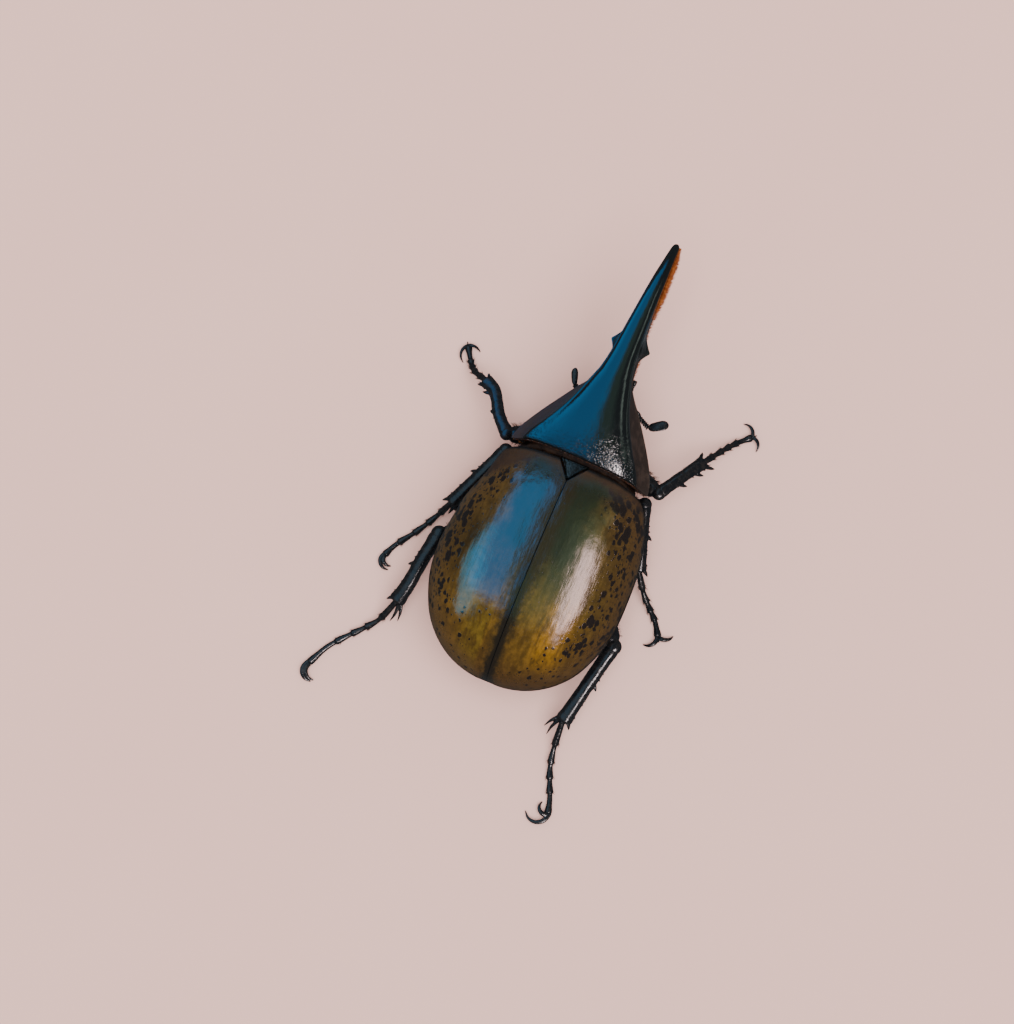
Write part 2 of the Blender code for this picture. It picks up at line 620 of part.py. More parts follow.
def tibia(leg, material):
    """The shin, wider towards its end, with spines along and around the end."""
    g = leg.girth
    path = tibia_path(leg)
    shin = tube(f"tibia_{leg.place}", path, tibia_sections(leg), LEG_SIDES, material)
    ahead = (along(path, 1) - along(path, 0.9)).normalized()
    across = ahead.cross(Vector((0, 0, 1))).normalized()
    spines = []
    for fraction, side, sideways, reach in leg.spines:
        centre = along(path, fraction)
        root = centre - ahead * 0.5 + across * side * 0.5 * g
        tip = centre + across * side * (1.3 * g + sideways) + ahead * reach - Vector((0, 0, 0.3))
        spines.append(spine(root, tip, 0.5, 0.45))
    return boolean(shin, spines, "UNION")


def tarsus(leg, material):
    """The foot: five joints that widen to their ends, and two claws."""
    ankle = Vector(leg.ankle)
    toe = Vector(leg.foot[0])
    start = ankle + (toe - ankle).normalized() * (GAP + 0.3)
    path = [start, *[Vector(point) for point in leg.foot]]
    ends = [0, 0.2, 0.38, 0.55, 0.72, 1]
    sections = []
    for a, b in zip(ends, ends[1:]):
        sections.append((a + 0.012 if a else 0, 0.42, 0.42))
        sections.append((b - 0.035, 0.72, 0.66))
        sections.append((b - 0.006 if b < 1 else 1, 0.5, 0.5))
    foot = tube(f"tarsus_{leg.place}", path, sections, 6, material)
    boolean(foot, [claw(path, side, *shape) for side, shape in zip((1, -1), leg.claws)], "UNION")
    cut_level(foot.data)
    return foot


def cut_level(mesh):
    """Cuts a foot off level with the floor, so that it stands on small flats."""
    bm = bmesh.new()
    bm.from_mesh(mesh)
    everything = [*bm.verts, *bm.edges, *bm.faces]
    bmesh.ops.bisect_plane(bm, geom=everything, plane_co=(0, 0, 0), plane_no=(0, 0, 1), clear_inner=True)
    bmesh.ops.holes_fill(bm, edges=bm.edges, sides=0)
    bm.to_mesh(mesh)
    bm.free()


def claw(path, side, start, turn, length):
    """A curved claw that leaves the end of a foot and comes down to the floor at its tip."""
    end = path[-1]
    heading = math.atan2(end.y - path[-2].y, end.x - path[-2].x)
    root = end + Matrix.Rotation(heading, 3, "Z") @ Vector((-0.65 + 0.08 * side, 0.1 * side, 0))
    steps = 4
    points = [root, end + Matrix.Rotation(heading, 3, "Z") @ Vector((0.15, 0.14 * side, 0.1))]
    for step in range(steps):
        angle = heading + math.radians(start + turn * step / (steps - 1))
        stride = Vector((math.cos(angle), math.sin(angle), 0)) * length / steps
        points.append(points[-1] + stride)
    heights = [end.z, end.z + 0.15, end.z + 0.45, end.z + 0.4, end.z + 0.15, CLAW_TIP_Z]
    for point, height in zip(points, heights):
        point.z = height
    sizes = [(0, 0.3, 0.3), (0.2, 0.36, 0.38), (0.45, 0.32, 0.34), (0.7, 0.25, 0.27), (1, 0.1, 0.1)]
    return tube("claw", points, sizes, CLAW_SIDES)


def main():
    for old in list(bpy.data.objects):
        bpy.data.objects.remove(old)

    olive = finish("elytra_olive", (0.19, 0.145, 0.035), 0.32, 0.1, 0.6)
    black = finish("shell_black", (0.012, 0.011, 0.010), 0.22, 0.0, 0.8)
    leg_black = finish("leg_black", (0.010, 0.011, 0.013), 0.30, 0.0, 0.4)
    belly_black = finish("belly_black", (0.020, 0.015, 0.011), 0.34)
    eye_black = finish("eye_brown", (0.020, 0.012, 0.008), 0.10, 0.0, 1.0)
    horn_black = finish("horn_black", (0.012, 0.012, 0.013), 0.18, 0.0, 0.9)

    pose = bpy.data.objects.new("pose", None)
    turn = bpy.data.objects.new("prothorax_turn", None)
    for empty in (pose, turn):
        bpy.context.scene.collection.objects.link(empty)
    turn.parent = pose
    turn.matrix_local = prothorax_stance()

    thorax = hind_thorax(belly_black)
    shield = pronotum(black)
    hind_parts = [thorax, abdomen(belly_black), scutellum(black)]
    hind_parts += [elytron(side, olive) for side in (1, -1)]
    front_parts = [shield, thoracic_horn(horn_black), head(black), head_horn(horn_black)]
    for side in (1, -1):
        front_parts += [eye(side, eye_black), mandible(side, black), palp(side, leg_black)]
    front_parts.append(antenna(1, [(4.6, 15.9, 10.6), (6.6, 15.0, 9.8), (8.8, 14.1, 9.6)], (12.1, 15.3, 9.8),
                               leg_black))
    front_parts.append(antenna(-1, [(-4.6, 15.9, 10.6), (-6.4, 15.2, 9.8), (-7.8, 15.7, 9.6)],
                               (-9.1, 18.7, 9.8), leg_black))

    hip_sockets = {"fore": [], "rest": []}
    for leg in LEGS:
        fore = leg.place.startswith("fore")
        hip_sockets["fore" if fore else "rest"].append(coxa_socket(leg))
        (front_parts if fore else hind_parts).append(coxa(leg, belly_black))
        hind_parts += [femur(leg, leg_black), tibia(leg, leg_black), tarsus(leg, leg_black)]
    boolean(shield, hip_sockets["fore"], "DIFFERENCE")
    boolean(thorax, hip_sockets["rest"], "DIFFERENCE")

    for part in hind_parts:
        part.parent = pose
    for part in front_parts:
        part.parent = turn
    pose.rotation_euler.z = math.pi
    bpy.context.view_layer.update()
    points = [part.matrix_world @ v.co for part in hind_parts + front_parts for v in part.data.vertices]
    low = Vector([min(p[k] for p in points) for k in range(3)])
    high = Vector([max(p[k] for p in points) for k in range(3)])
    pose.location = (-(low.x + high.x) / 2, -(low.y + high.y) / 2, -low.z)


main()
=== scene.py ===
"""A male hercules beetle standing on a pale floor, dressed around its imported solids.

Shapes are worked out in millimetres in the beetle's own frame: X to its right, Y forward along the
horns, Z up from the floor, with the wing covers starting at Y = 0 on the suture. BODY carries that
frame into the model's, and FRONT does so for the prothorax, which is turned a little on the hind body.
"""

import json
import math
import random
from itertools import accumulate

import bmesh
import bpy
import numpy as np
from mathutils import Matrix, Vector, noise

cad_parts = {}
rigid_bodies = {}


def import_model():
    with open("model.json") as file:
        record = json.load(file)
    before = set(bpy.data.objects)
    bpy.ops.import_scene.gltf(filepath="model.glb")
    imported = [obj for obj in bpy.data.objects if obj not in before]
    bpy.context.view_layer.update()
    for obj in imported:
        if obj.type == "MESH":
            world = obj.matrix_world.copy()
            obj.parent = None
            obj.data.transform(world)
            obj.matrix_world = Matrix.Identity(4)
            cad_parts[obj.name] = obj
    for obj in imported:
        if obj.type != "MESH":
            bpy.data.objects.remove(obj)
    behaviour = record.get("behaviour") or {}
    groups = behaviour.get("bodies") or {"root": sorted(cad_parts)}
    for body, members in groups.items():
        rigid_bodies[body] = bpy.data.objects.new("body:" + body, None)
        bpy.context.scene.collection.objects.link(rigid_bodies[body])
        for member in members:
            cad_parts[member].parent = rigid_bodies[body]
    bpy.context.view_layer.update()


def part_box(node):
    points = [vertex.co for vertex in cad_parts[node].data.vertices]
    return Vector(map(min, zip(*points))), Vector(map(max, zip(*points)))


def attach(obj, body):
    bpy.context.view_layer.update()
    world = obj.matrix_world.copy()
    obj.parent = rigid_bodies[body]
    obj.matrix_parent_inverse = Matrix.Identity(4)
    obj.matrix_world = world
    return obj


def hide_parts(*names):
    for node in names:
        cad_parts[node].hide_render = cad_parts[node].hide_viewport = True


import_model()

MM = 0.001
SIDES = {"right": 1, "left": -1}
UP = Vector((0, 0, 1))
GAP = 0.3

# Stance of the prothorax on the hind body
PROTHORAX_YAW = -1.6
PROTHORAX_PIVOT_Y = -3.0
PROTHORAX_SHIFT = 0.4

# Wing covers
WING_LENGTH = 44.3
WING_HALF_WIDTH = 19.0
SHOULDER_HALF_WIDTH = 14.4
WIDEST_Y = -22.0
CROWN_Z = 24.9
CROWN_Y = -18.0
BASE_Z = 20.8
APEX_HALF_WIDTH = 2.4
WING_THICKNESS = 0.9
WING_COLUMNS = 72
SHOULDER_DROP = 1.7
SHOULDER_REACH = 9.0
WING_ARCH = 0.87
SEAM = 0.004

# Plates of the hind body
WAIST_Y = -21.5
PLATE_ENDS = (WAIST_Y - GAP / 2, -26.0, -30.0, -33.6, -36.8, -39.6, -42.9)
BREAST_SEAMS = (-5.2, -12.6, -20.3)
SCUTELLUM_HALF_WIDTH = 2.9
SCUTELLUM_LENGTH = 3.8
SCUTELLUM_FRONT_Y = 0.35

# Prothorax, horns and head
SHIELD_BASE_Y = 1.0
SHIELD_CORNER_SWEEP = 0.5
SHIELD_FRONT_Y = 12.6
HORN_TIP_Y = 47.2
HORN_TOOTH_Y = 24.9
EYE_CENTRE = (4.75, 14.6, 12.0)
EYE_RADIUS = 1.25

# Feet
FOOT_JOINTS = (0, 0.2, 0.38, 0.55, 0.72, 1)
LOWEST_Z = 0.02


class Profile:
    """A smooth curve through a few (place, size) pairs, with no overshoot between them."""

    def __init__(self, *pairs):
        self.pairs = sorted(pairs)
        slopes = [(b[1] - a[1]) / (b[0] - a[0]) for a, b in zip(self.pairs, self.pairs[1:])]
        inner = [0.0 if p * q <= 0 else 2 * p * q / (p + q) for p, q in zip(slopes, slopes[1:])]
        self.slopes = [slopes[0], *inner, slopes[-1]]

    def __call__(self, place):
        place = min(max(place, self.pairs[0][0]), self.pairs[-1][0])
        index = 0
        while index < len(self.pairs) - 2 and place > self.pairs[index + 1][0]:
            index += 1
        (x0, y0), (x1, y1) = self.pairs[index], self.pairs[index + 1]
        width = x1 - x0
        t = (place - x0) / width
        start, end = self.slopes[index] * width, self.slopes[index + 1] * width
        return (
            y0 * (2 * t**3 - 3 * t**2 + 1)
            + start * (t**3 - 2 * t**2 + t)
            + y1 * (3 * t**2 - 2 * t**3)
            + end * (t**3 - t**2)
        )


WING_MARGIN_Z = Profile((0, 14.2), (-8, 12.7), (-20, 11.9), (-44.3, 11.2))
BELLY_Z = Profile((0.6, 9.0), (-4, 6.9), (-10, 6.1), (-20, 5.9), (-31, 6.6), (-38, 8.0), (-42.9, 10.4))

# The shield and the upper horn: half widths at the edge and the ridge, and heights
SHIELD_EDGE = Profile((0.4, 14.5), (2.5, 14.0), (5, 12.8), (8, 10.95), (11, 8.75), (14, 6.4), (16, 4.7),
                      (18, 3.45), (21, 2.9), (25, 2.5), (29, 2.1), (34, 1.75), (39, 1.4), (43, 1.05),
                      (46, 0.82), (47.2, 0.5))
SHIELD_RIDGE = Profile((0.4, 12.0), (2.5, 11.0), (5, 9.3), (8, 7.4), (11, 5.8), (14, 4.6), (16, 3.9),
                       (18, 3.2), (21, 2.62), (25, 2.25), (29, 1.92), (34, 1.6), (39, 1.28), (43, 0.95),
                       (46, 0.72), (47.2, 0.42))
SHIELD_CROWN_Z = Profile((0.4, 21.7), (5, 24.0), (11, 26.1), (16, 26.98), (21, 27.36), (27, 27.08),
                         (33, 26.0), (38, 24.3), (43, 21.9), (47.2, 18.9))
SHIELD_RIDGE_Z = Profile((0.4, 17.9), (5, 20.8), (11, 23.7), (16, 25.1), (21, 25.95), (27, 26.0),
                         (33, 25.1), (38, 23.55), (43, 21.3), (47.2, 18.6))
SHIELD_EDGE_Z = Profile((0.4, 13.6), (5, 13.7), (8, 14.5), (11, 16.1), (16, 19.3), (21, 21.0), (27, 21.4),
                        (33, 21.7), (38, 21.2), (43, 19.7), (47.2, 17.8))
BREAST_Z = Profile((0.4, 8.2), (2.5, 6.6), (5, 5.9), (8, 5.9), (11, 6.7), (12.6, 7.8))
HORN_UNDER_Z = Profile((12.9, 16.2), (16, 17.2), (21, 18.6), (27, 19.7), (33, 20.3), (38, 20.1), (43, 18.9),
                       (47.2, 17.3))

HEAD_HALF_WIDTH = Profile((13.2, 5.0), (14.5, 5.1), (16, 4.1), (17.5, 3.0), (19.2, 2.4))
HEAD_TOP_Z = Profile((13.2, 15.0), (15, 15.1), (17.5, 14.2), (19.2, 12.6))
HEAD_UNDER_Z = Profile((13.2, 8.6), (15, 8.9), (17.5, 9.6), (19.2, 10.6))


def body_frame():
    """Millimetres in the beetle's own frame to metres in the model's."""
    boxes = [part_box("elytron_left"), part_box("elytron_right")]
    suture_x = (min(low.x for low, _ in boxes) + max(high.x for _, high in boxes)) / 2
    base_y = min(low.y for low, _ in boxes)
    turn = Matrix.Rotation(math.pi, 4, "Z") @ Matrix.Scale(MM, 4)
    return Matrix.Translation((suture_x, base_y, 0)) @ turn


def prothorax_stance():
    pivot = Matrix.Translation((0, PROTHORAX_PIVOT_Y, 0))
    yaw = Matrix.Rotation(math.radians(PROTHORAX_YAW), 4, "Z")
    return Matrix.Translation((PROTHORAX_SHIFT, 0, 0)) @ pivot @ yaw @ pivot.inverted()


BODY = body_frame()
FRONT = BODY @ prothorax_stance()


def bump(distance, reach):
    """A smooth hill, 1 in the middle and 0 at its reach."""
    share = min(abs(distance) / reach, 1)
    return (1 - share**2) ** 2


def ramp(value, low, high):
    """0 below low, 1 above high and smooth between them."""
    share = min(max((value - low) / (high - low), 0), 1)
    return share * share * (3 - 2 * share)


def blend_four(p0, p1, p2, p3, t):
    return 0.5 * (
        2 * p1
        + (p2 - p0) * t
        + (2 * p0 - 5 * p1 + 4 * p2 - p3) * t**2
        + (3 * p1 - p0 - 3 * p2 + p3) * t**3
    )


def through(points, fraction):
    """The place at a fraction of a smooth open path through points."""
    spans = len(points) - 1
    index = min(int(fraction * spans), spans - 1)
    p1, p2 = points[index], points[index + 1]
    p0 = points[index - 1] if index else 2 * p1 - p2
    p3 = points[index + 2] if index + 2 <= spans else 2 * p2 - p1
    return blend_four(p0, p1, p2, p3, fraction * spans - index)


def round_through(points, fraction):
    """The place at a fraction of a smooth closed loop through points."""
    count = len(points)
    place = fraction % 1 * count
    index = int(place)
    ring = [points[(index + k) % count] for k in (-1, 0, 1, 2)]
    return blend_four(*ring, place - index)


def long_edges(bm):
    return [e for e in bm.edges if abs(e.verts[0].co.z - e.verts[1].co.z) > 0.5]


def sleeve(around, rows, form, marks=None, open_ends=False):
    """A closed tube whose vertices go where form(turn, row) says, with turn from 0 to 1 round it.

    Marks are named functions of the same two, kept on the vertices for the paint. Open ends are left
    to be welded, where the last rings close on themselves.
    """
    bm = bmesh.new()
    bmesh.ops.create_cone(bm, cap_ends=True, segments=around, radius1=1, radius2=1, depth=1)
    bmesh.ops.subdivide_edges(bm, edges=long_edges(bm), cuts=rows - 2)
    layers = [(bm.verts.layers.float.new(name), mark) for name, mark in (marks or {}).items()]
    for vert in bm.verts:
        turn = round(math.atan2(vert.co.y, vert.co.x) / (2 * math.pi) * around) % around / around
        row = round((vert.co.z + 0.5) * (rows - 1))
        vert.co = form(turn, row)
        for layer, mark in layers:
            vert[layer] = mark(turn, row)
    ends = [f for f in bm.faces if len(f.verts) > 4]
    if open_ends:
        bmesh.ops.delete(bm, geom=ends, context="FACES_ONLY")
        bmesh.ops.remove_doubles(bm, verts=bm.verts, dist=0.001)
    else:
        bmesh.ops.poke(bm, faces=ends)
    bmesh.ops.recalc_face_normals(bm, faces=bm.faces)
    return bm


def tabled(rings):
    """What a sleeve reads at (turn, row), from a ring of values ready for each row."""
    return lambda turn, row: rings[row][round(turn * len(rings[row])) % len(rings[row])]


def mesh_of(name, bm):
    mesh = bpy.data.meshes.new(name)
    bm.to_mesh(mesh)
    bm.free()
    return mesh


def placed(name, data):
    made = bpy.data.objects.new(name, data)
    bpy.context.scene.collection.objects.link(made)
    return made


def dressed(name, mesh, material, nodes):
    """A mesh in metres as a piece of the beetle, in place of CAD nodes."""
    mesh.shade_smooth()
    mesh.materials.append(material)
    made = placed(name, mesh)
    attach(made, "root")
    if nodes:
        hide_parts(*nodes)


def piece(name, bm, material, nodes, frame_of=BODY, sharp=None):
    """A finished piece from a mesh in millimetres. Edges over sharp degrees stay crisp."""
    bm.transform(frame_of)
    bm.normal_update()
    mesh = mesh_of(name, bm)
    dressed(name, mesh, material, nodes)
    if sharp:
        mesh.set_sharp_from_angle(angle=math.radians(sharp))


def gathered(parts):
    """Several meshes in one, and the parts are used up."""
    whole = bmesh.new()
    for bm in parts:
        mesh = mesh_of("part", bm)
        whole.from_mesh(mesh)
        bpy.data.meshes.remove(mesh)
    return whole


def fused(parts, voxel, rounds):
    """Closed meshes that overlap, grown into one skin and smoothed a few rounds."""
    mesh = mesh_of("fused", gathered(parts))
    holder = placed("fused", mesh)
    modifier = holder.modifiers.new("Grow", "REMESH")
    modifier.mode = "VOXEL"
    modifier.voxel_size = voxel
    graph = bpy.context.evaluated_depsgraph_get()
    grown = bpy.data.meshes.new_from_object(holder.evaluated_get(graph))
    bpy.data.objects.remove(holder)
    bm = bmesh.new()
    bm.from_mesh(grown)
    for used in (mesh, grown):
        bpy.data.meshes.remove(used)
    for _ in range(rounds):
        bmesh.ops.smooth_vert(
            bm, verts=bm.verts, factor=0.5, use_axis_x=True, use_axis_y=True, use_axis_z=True
        )
    bmesh.ops.recalc_face_normals(bm, faces=bm.faces)
    return bm


def orb(centre, radii, segments):
    bm = bmesh.new()
    bmesh.ops.create_uvsphere(bm, u_segments=segments, v_segments=segments // 2 + 1, radius=1)
    bm.transform(Matrix.Translation(centre) @ Matrix.Diagonal([*radii, 1]))
    return bm


class Limb:
    """A round or flattened limb along a path.

    A section is (fraction of the path, half width, half height), or (fraction, radius) where it is round.
    """

    def __init__(self, path, sections=((0, 1), (1, 1))):
        self.path = [Vector(point) for point in path]
        self.width = Profile(*[(section[0], section[1]) for section in sections])
        self.height = Profile(*[(section[0], section[-1]) for section in sections])
        self.length = sum((b - a).length for a, b in zip(self.path, self.path[1:]))

    def axes(self, fraction):
        """Centre, way ahead, side and up at a fraction of the path."""
        near, far = max(fraction - 0.01, 0), min(fraction + 0.01, 1)
        ahead = (through(self.path, far) - through(self.path, near)).normalized()
        side = ahead.cross(UP).normalized()
        return through(self.path, fraction), ahead, side, side.cross(ahead).normalized()

    def surface(self, fraction, turn, swell=1.0):
        """The place on the skin and the way out of it, with turn 0 on top and 0.25 on the right."""
        centre, _, side, up = self.axes(fraction)
        angle = 2 * math.pi * turn
        width, height = self.width(fraction) * swell, self.height(fraction) * swell
        place = centre + side * width * math.sin(angle) + up * height * math.cos(angle)
        out = side * math.sin(angle) / max(width, 0.01) + up * math.cos(angle) / max(height, 0.01)
        return place, out.normalized()

    def mesh(self, around, rows, relief=None, blunt=1.0):
        """The closed skin, rounded at both ends. Relief(fraction, turn) scales it locally."""
        root, tip = (blunt * self.width(end) / self.length for end in (0, 1))

        def form(turn, row):
            fraction = 0.5 - 0.5 * math.cos(math.pi * row / (rows - 1))
            swell = 1.0
            for from_end in (fraction / root, (1 - fraction) / tip):
                swell *= math.sqrt(max(1 - (1 - min(from_end, 1)) ** 2, 0.004))
            if relief:
                swell *= relief(fraction, turn)
            return self.surface(fraction, turn, swell)[0]

        return sleeve(around, rows, form)

    def tooth(self, fraction, turn, root, tip, width, swell=1.0, ahead_at=None):
        """A small spine on the skin. Its root and its tip are (outward, ahead) of the place."""
        base, out = self.surface(fraction, turn, swell)
        ahead = self.axes(ahead_at or fraction)[1]
        root, tip = (base + out * outward + ahead * reach for outward, reach in (root, tip))
        return thorn(root, tip, width)


def thorn(root, tip, width, curve=(0, 0, 0), around=8, rows=8, end=0.06):
    """A tapered spine from a root sunk in its limb to its tip, bent aside by curve at the middle."""
    root, tip = Vector(root), Vector(tip)
    middle = root.lerp(tip, 0.55) + Vector(curve)
    return Limb([root, middle, tip], [(0, width), (0.55, width * 0.62), (1, end)]).mesh(around, rows)


class Coat:
    """Fine hairs joined in one mesh, each a bent three-sided spike.

    Every hair has a small patch on the UV map, at its root's place on an unwrap of the skin that it
    grows on. The map holds a grid of cells, one for each skin.
    """

    LEVELS = (0.0, 0.4, 0.75, 1.0)
    GIRTHS = (1.0, 0.85, 0.5, 0.0)
    PATCH = 0.0015

    def __init__(self, seed, columns=1, lines=1):
        self.draw = random.Random(seed)
        self.columns, self.lines = columns, lines
        self.hairs, self.spots = [], []

    def add(self, root, way, length, width, bend, place, cell=0):
        way = Vector(way).normalized()
        side = way.orthogonal().normalized()
        self.hairs.append((root, way * length, Vector(bend) * length, side * width, way.cross(side) * width))
        self.spots.append((
            (cell % self.columns + 0.04 + 0.92 * place[0]) / self.columns,
            (cell // self.columns + 0.04 + 0.92 * place[1]) / self.lines,
        ))

    def spike(self):
        """A straight hair of unit size, its first corner on X: its vertices (x, y, level) and its faces."""
        bm = bmesh.new()
        facing = Matrix.Rotation(-math.pi / 2, 4, "Z")
        bmesh.ops.create_cone(
            bm, cap_ends=True, segments=3, radius1=1, radius2=1, depth=1, matrix=facing
        )
        bmesh.ops.subdivide_edges(bm, edges=long_edges(bm), cuts=1)
        tip = bmesh.ops.poke(bm, faces=[f for f in bm.faces if f.calc_center_median().z > 0.4])["verts"]
        bmesh.ops.recalc_face_normals(bm, faces=bm.faces)
        bm.verts.index_update()
        corners = []
        for vert in bm.verts:
            row = 3 if vert in tip else round(2 * vert.co.z + 1)
            girth = self.GIRTHS[row]
            corners.append((vert.co.x * girth, vert.co.y * girth, self.LEVELS[row]))
        faces = [[vert.index for vert in face.verts] for face in bm.faces]
        bm.free()
        return np.array(corners), faces

    def grow(self, name, material, frame_of=BODY):
        corners, faces = self.spike()
        x, y, level = (corners[:, k : k + 1] for k in range(3))
        root, way, bend, side, other = np.array(self.hairs).transpose(1, 0, 2)[:, :, None]
        points = root + way * level + bend * level**2 + side * x + other * y
        indices = [
            [hair * len(corners) + index for index in face]
            for hair in range(len(self.hairs)) for face in faces
        ]
        mesh = bpy.data.meshes.new(name)
        mesh.from_pydata(points.reshape(-1, 3), [], indices)
        spot = np.array(self.spots)[:, None]
        patch = spot + self.PATCH * np.hstack([x, 2 * level - 1])
        layer = mesh.uv_layers.new(name="OFBake")
        layer.data.foreach_set("uv", patch.reshape(-1, 2)[np.concatenate(indices)].ravel())
        mesh.transform(frame_of)
        dressed(name, mesh, material, ())


class Value:
    """A number, vector or colour inside a material. Arithmetic on numbers adds Math nodes."""

    def __init__(self, nodes, socket):
        self.nodes, self.socket = nodes, socket

    def math(self, operation, first, second):
        return self.nodes.node("Math", {"operation": operation}, {0: first, 1: second})

    def __add__(self, other):
        return self.math("ADD", self, other)

    def __sub__(self, other):
        return self.math("SUBTRACT", self, other)

    def __rsub__(self, other):
        return self.math("SUBTRACT", other, self)

    def __mul__(self, other):
        return self.math("MULTIPLY", self, other)

    def __truediv__(self, other):
        return self.math("DIVIDE", self, other)

    __radd__, __rmul__ = __add__, __mul__

    def largest(self, other):
        return self.math("MAXIMUM", self, other)

    def smallest(self, other):
        return self.math("MINIMUM", self, other)

    def between(self, low, high, start=0.0, end=1.0):
        """Start below low, end above high, and a smooth step between them."""
        sockets = {"Value": self, "From Min": low, "From Max": high, "To Min": start, "To Max": end}
        return self.nodes.node("MapRange", {"interpolation_type": "SMOOTHSTEP"}, sockets, "Result")

    def fading(self, low, high, start=1.0):
        return self.between(low, high, start, 0.0)


class Nodes:
    """The nodes of a material or of the world."""

    def __init__(self, owner, output):
        owner.use_nodes = True
        self.tree = owner.node_tree
        self.surface = self.tree.nodes[output].inputs["Surface"]

    def feed(self, socket, value):
        if isinstance(value, Value):
            self.tree.links.new(value.socket, socket)
        else:
            socket.default_value = (*value, 1.0) if socket.type == "RGBA" and len(value) == 3 else value

    def node(self, kind, settings=None, sockets=None, output=0):
        made = self.tree.nodes.new("ShaderNode" + kind)
        for name, value in (settings or {}).items():
            if name == "stops":
                stops = made.color_ramp.elements
                while len(stops) < len(value):
                    stops.new(0.5)
                for stop, (place, colour) in zip(stops, value):
                    stop.position = place
                    stop.color = (*colour, 1)
            else:
                setattr(made, name, value)
        for key, value in (sockets or {}).items():
            self.feed(made.inputs[key], value)
        return Value(self, made.outputs[output])


class Paint(Nodes):
    """One finish, built on the Principled shader. Colour is what has been laid so far."""

    def __init__(self, name, constants):
        self.material = bpy.data.materials.new(name)
        super().__init__(self.material, "Material Output")
        self.shader = self.tree.nodes["Principled BSDF"]
        self.where = self.place(1000.0, 1000.0, 1000.0)
        self.set(constants)

    def set(self, sockets):
        for name, value in sockets.items():
            self.feed(self.shader.inputs[name], value)

    def place(self, *scale):
        """The place on the beetle, in millimetres where the scale is 1000."""
        where = self.node("TexCoord", output="Object")
        return self.node("Mapping", {}, {"Vector": where, "Scale": scale})

    def mark(self, name):
        return self.node("Attribute", {"attribute_name": name}, output="Fac")

    def noise(self, scale, detail=3.0, roughness=0.5, where=None, output="Fac"):
        sockets = {"Vector": where or self.where, "Scale": scale, "Detail": detail, "Roughness": roughness}
        return self.node("TexNoise", {}, sockets, output)

    def cells(self, scale, randomness=1.0, where=None, output="Distance"):
        sockets = {"Vector": where or self.where, "Scale": scale, "Randomness": randomness}
        return self.node("TexVoronoi", {}, sockets, output)

    def mix(self, share, a, b, way="MIX"):
        return self.node("Mix", {"data_type": "RGBA", "blend_type": way}, {0: share, 6: a, 7: b}, 2)

    def lay(self, share, colour, way="MIX"):
        """Lays a colour over a share of the surface."""
        self.colour = self.mix(share, self.colour, colour, way)

    def relief(self, *layers):
        """Lays bumps over each other. A layer is its height, from 0 to 1, and its depth in millimetres."""
        normal = {}
        for height, depth in layers:
            normal["Normal"] = self.node("Bump", {}, {"Height": height, "Distance": depth * MM, **normal})
        self.set(normal)
        return normal

    def matt(self, share, normal):
        """Lays a matt finish over a share of the surface."""
        sockets = {"Base Color": self.colour, "Roughness": 0.6, "Specular IOR Level": 0.2, **normal}
        dull = self.node("BsdfPrincipled", {}, sockets)
        polished = Value(self, self.shader.outputs[0])
        self.feed(self.surface, self.node("MixShader", {}, {0: share, 1: polished, 2: dull}))

    def warped(self, where, scale, reach):
        """Places pushed about by noise, so that a pattern on them has uneven edges."""
        push = self.noise(scale, 2.0, where=where, output="Color")
        push = self.node("VectorMath", {"operation": "SUBTRACT"}, {0: push, 1: (0.5, 0.5, 0.5)})
        push = self.node("VectorMath", {"operation": "SCALE"}, {0: push, "Scale": 2 * reach})
        return self.node("VectorMath", {"operation": "ADD"}, {0: where, 1: push})

    def spots(self, where, scale, density, gain):
        """1 inside round spots, in a share of the cells of a pattern that density gives."""
        colour = self.cells(scale, where=where, output="Color")
        chance = self.node("SeparateColor", {}, {0: colour})
        size = (chance + density - 1.0) * gain
        return (size - self.cells(scale, where=where)).between(-0.06, 0.07)


def tuck(side, y):
    """The left shoulder is held in a little closer than the right."""
    return 1.2 * bump(y + 5.0, 8.5) + 0.85 * bump(y + 12.5, 11.0) if side < 0 else 0.0


def wing_half_width(y):
    if y < WIDEST_Y:
        back = min((WIDEST_Y - y) / (WING_LENGTH + WIDEST_Y), 0.999)
        return max(APEX_HALF_WIDTH, WING_HALF_WIDTH * (1 - back**2.2) ** (1 / 2.2))
    return WING_HALF_WIDTH - (WING_HALF_WIDTH - SHOULDER_HALF_WIDTH) * (1 - y / WIDEST_Y) ** 2.6


def wing_crown_z(y):
    if y < CROWN_Y:
        back = min((CROWN_Y - y) / (WING_LENGTH + CROWN_Y), 1)
        margin = WING_MARGIN_Z(y) + 0.5
        return margin + (CROWN_Z - margin) * (1 - back**2.3) ** (1 / 2.3)
    return CROWN_Z - (CROWN_Z - BASE_Z) * (1 - y / CROWN_Y) ** 2


def arch(half_width, crown_z, margin_z, angle):
    """A point (x, z) of a section over the wings, from the crown at 0 to the margin at 90 degrees."""
    turn = math.radians(angle)
    x = half_width * math.sin(turn) ** WING_ARCH
    return x, margin_z + (crown_z - margin_z) * max(math.cos(turn), 0) ** WING_ARCH


def swept(x, y, half):
    """Y of a point at x, where the shoulders lie behind the middle."""
    return y - SHOULDER_DROP * max(0, 1 + y / SHOULDER_REACH) ** 2 * (x / half) ** 4


def scutellum_half(y, clearance=0.0):
    share = 1 + (y - SCUTELLUM_FRONT_Y) / (SCUTELLUM_LENGTH + 2 * clearance)
    return (SCUTELLUM_HALF_WIDTH + 1.4 * clearance) * max(0, share)


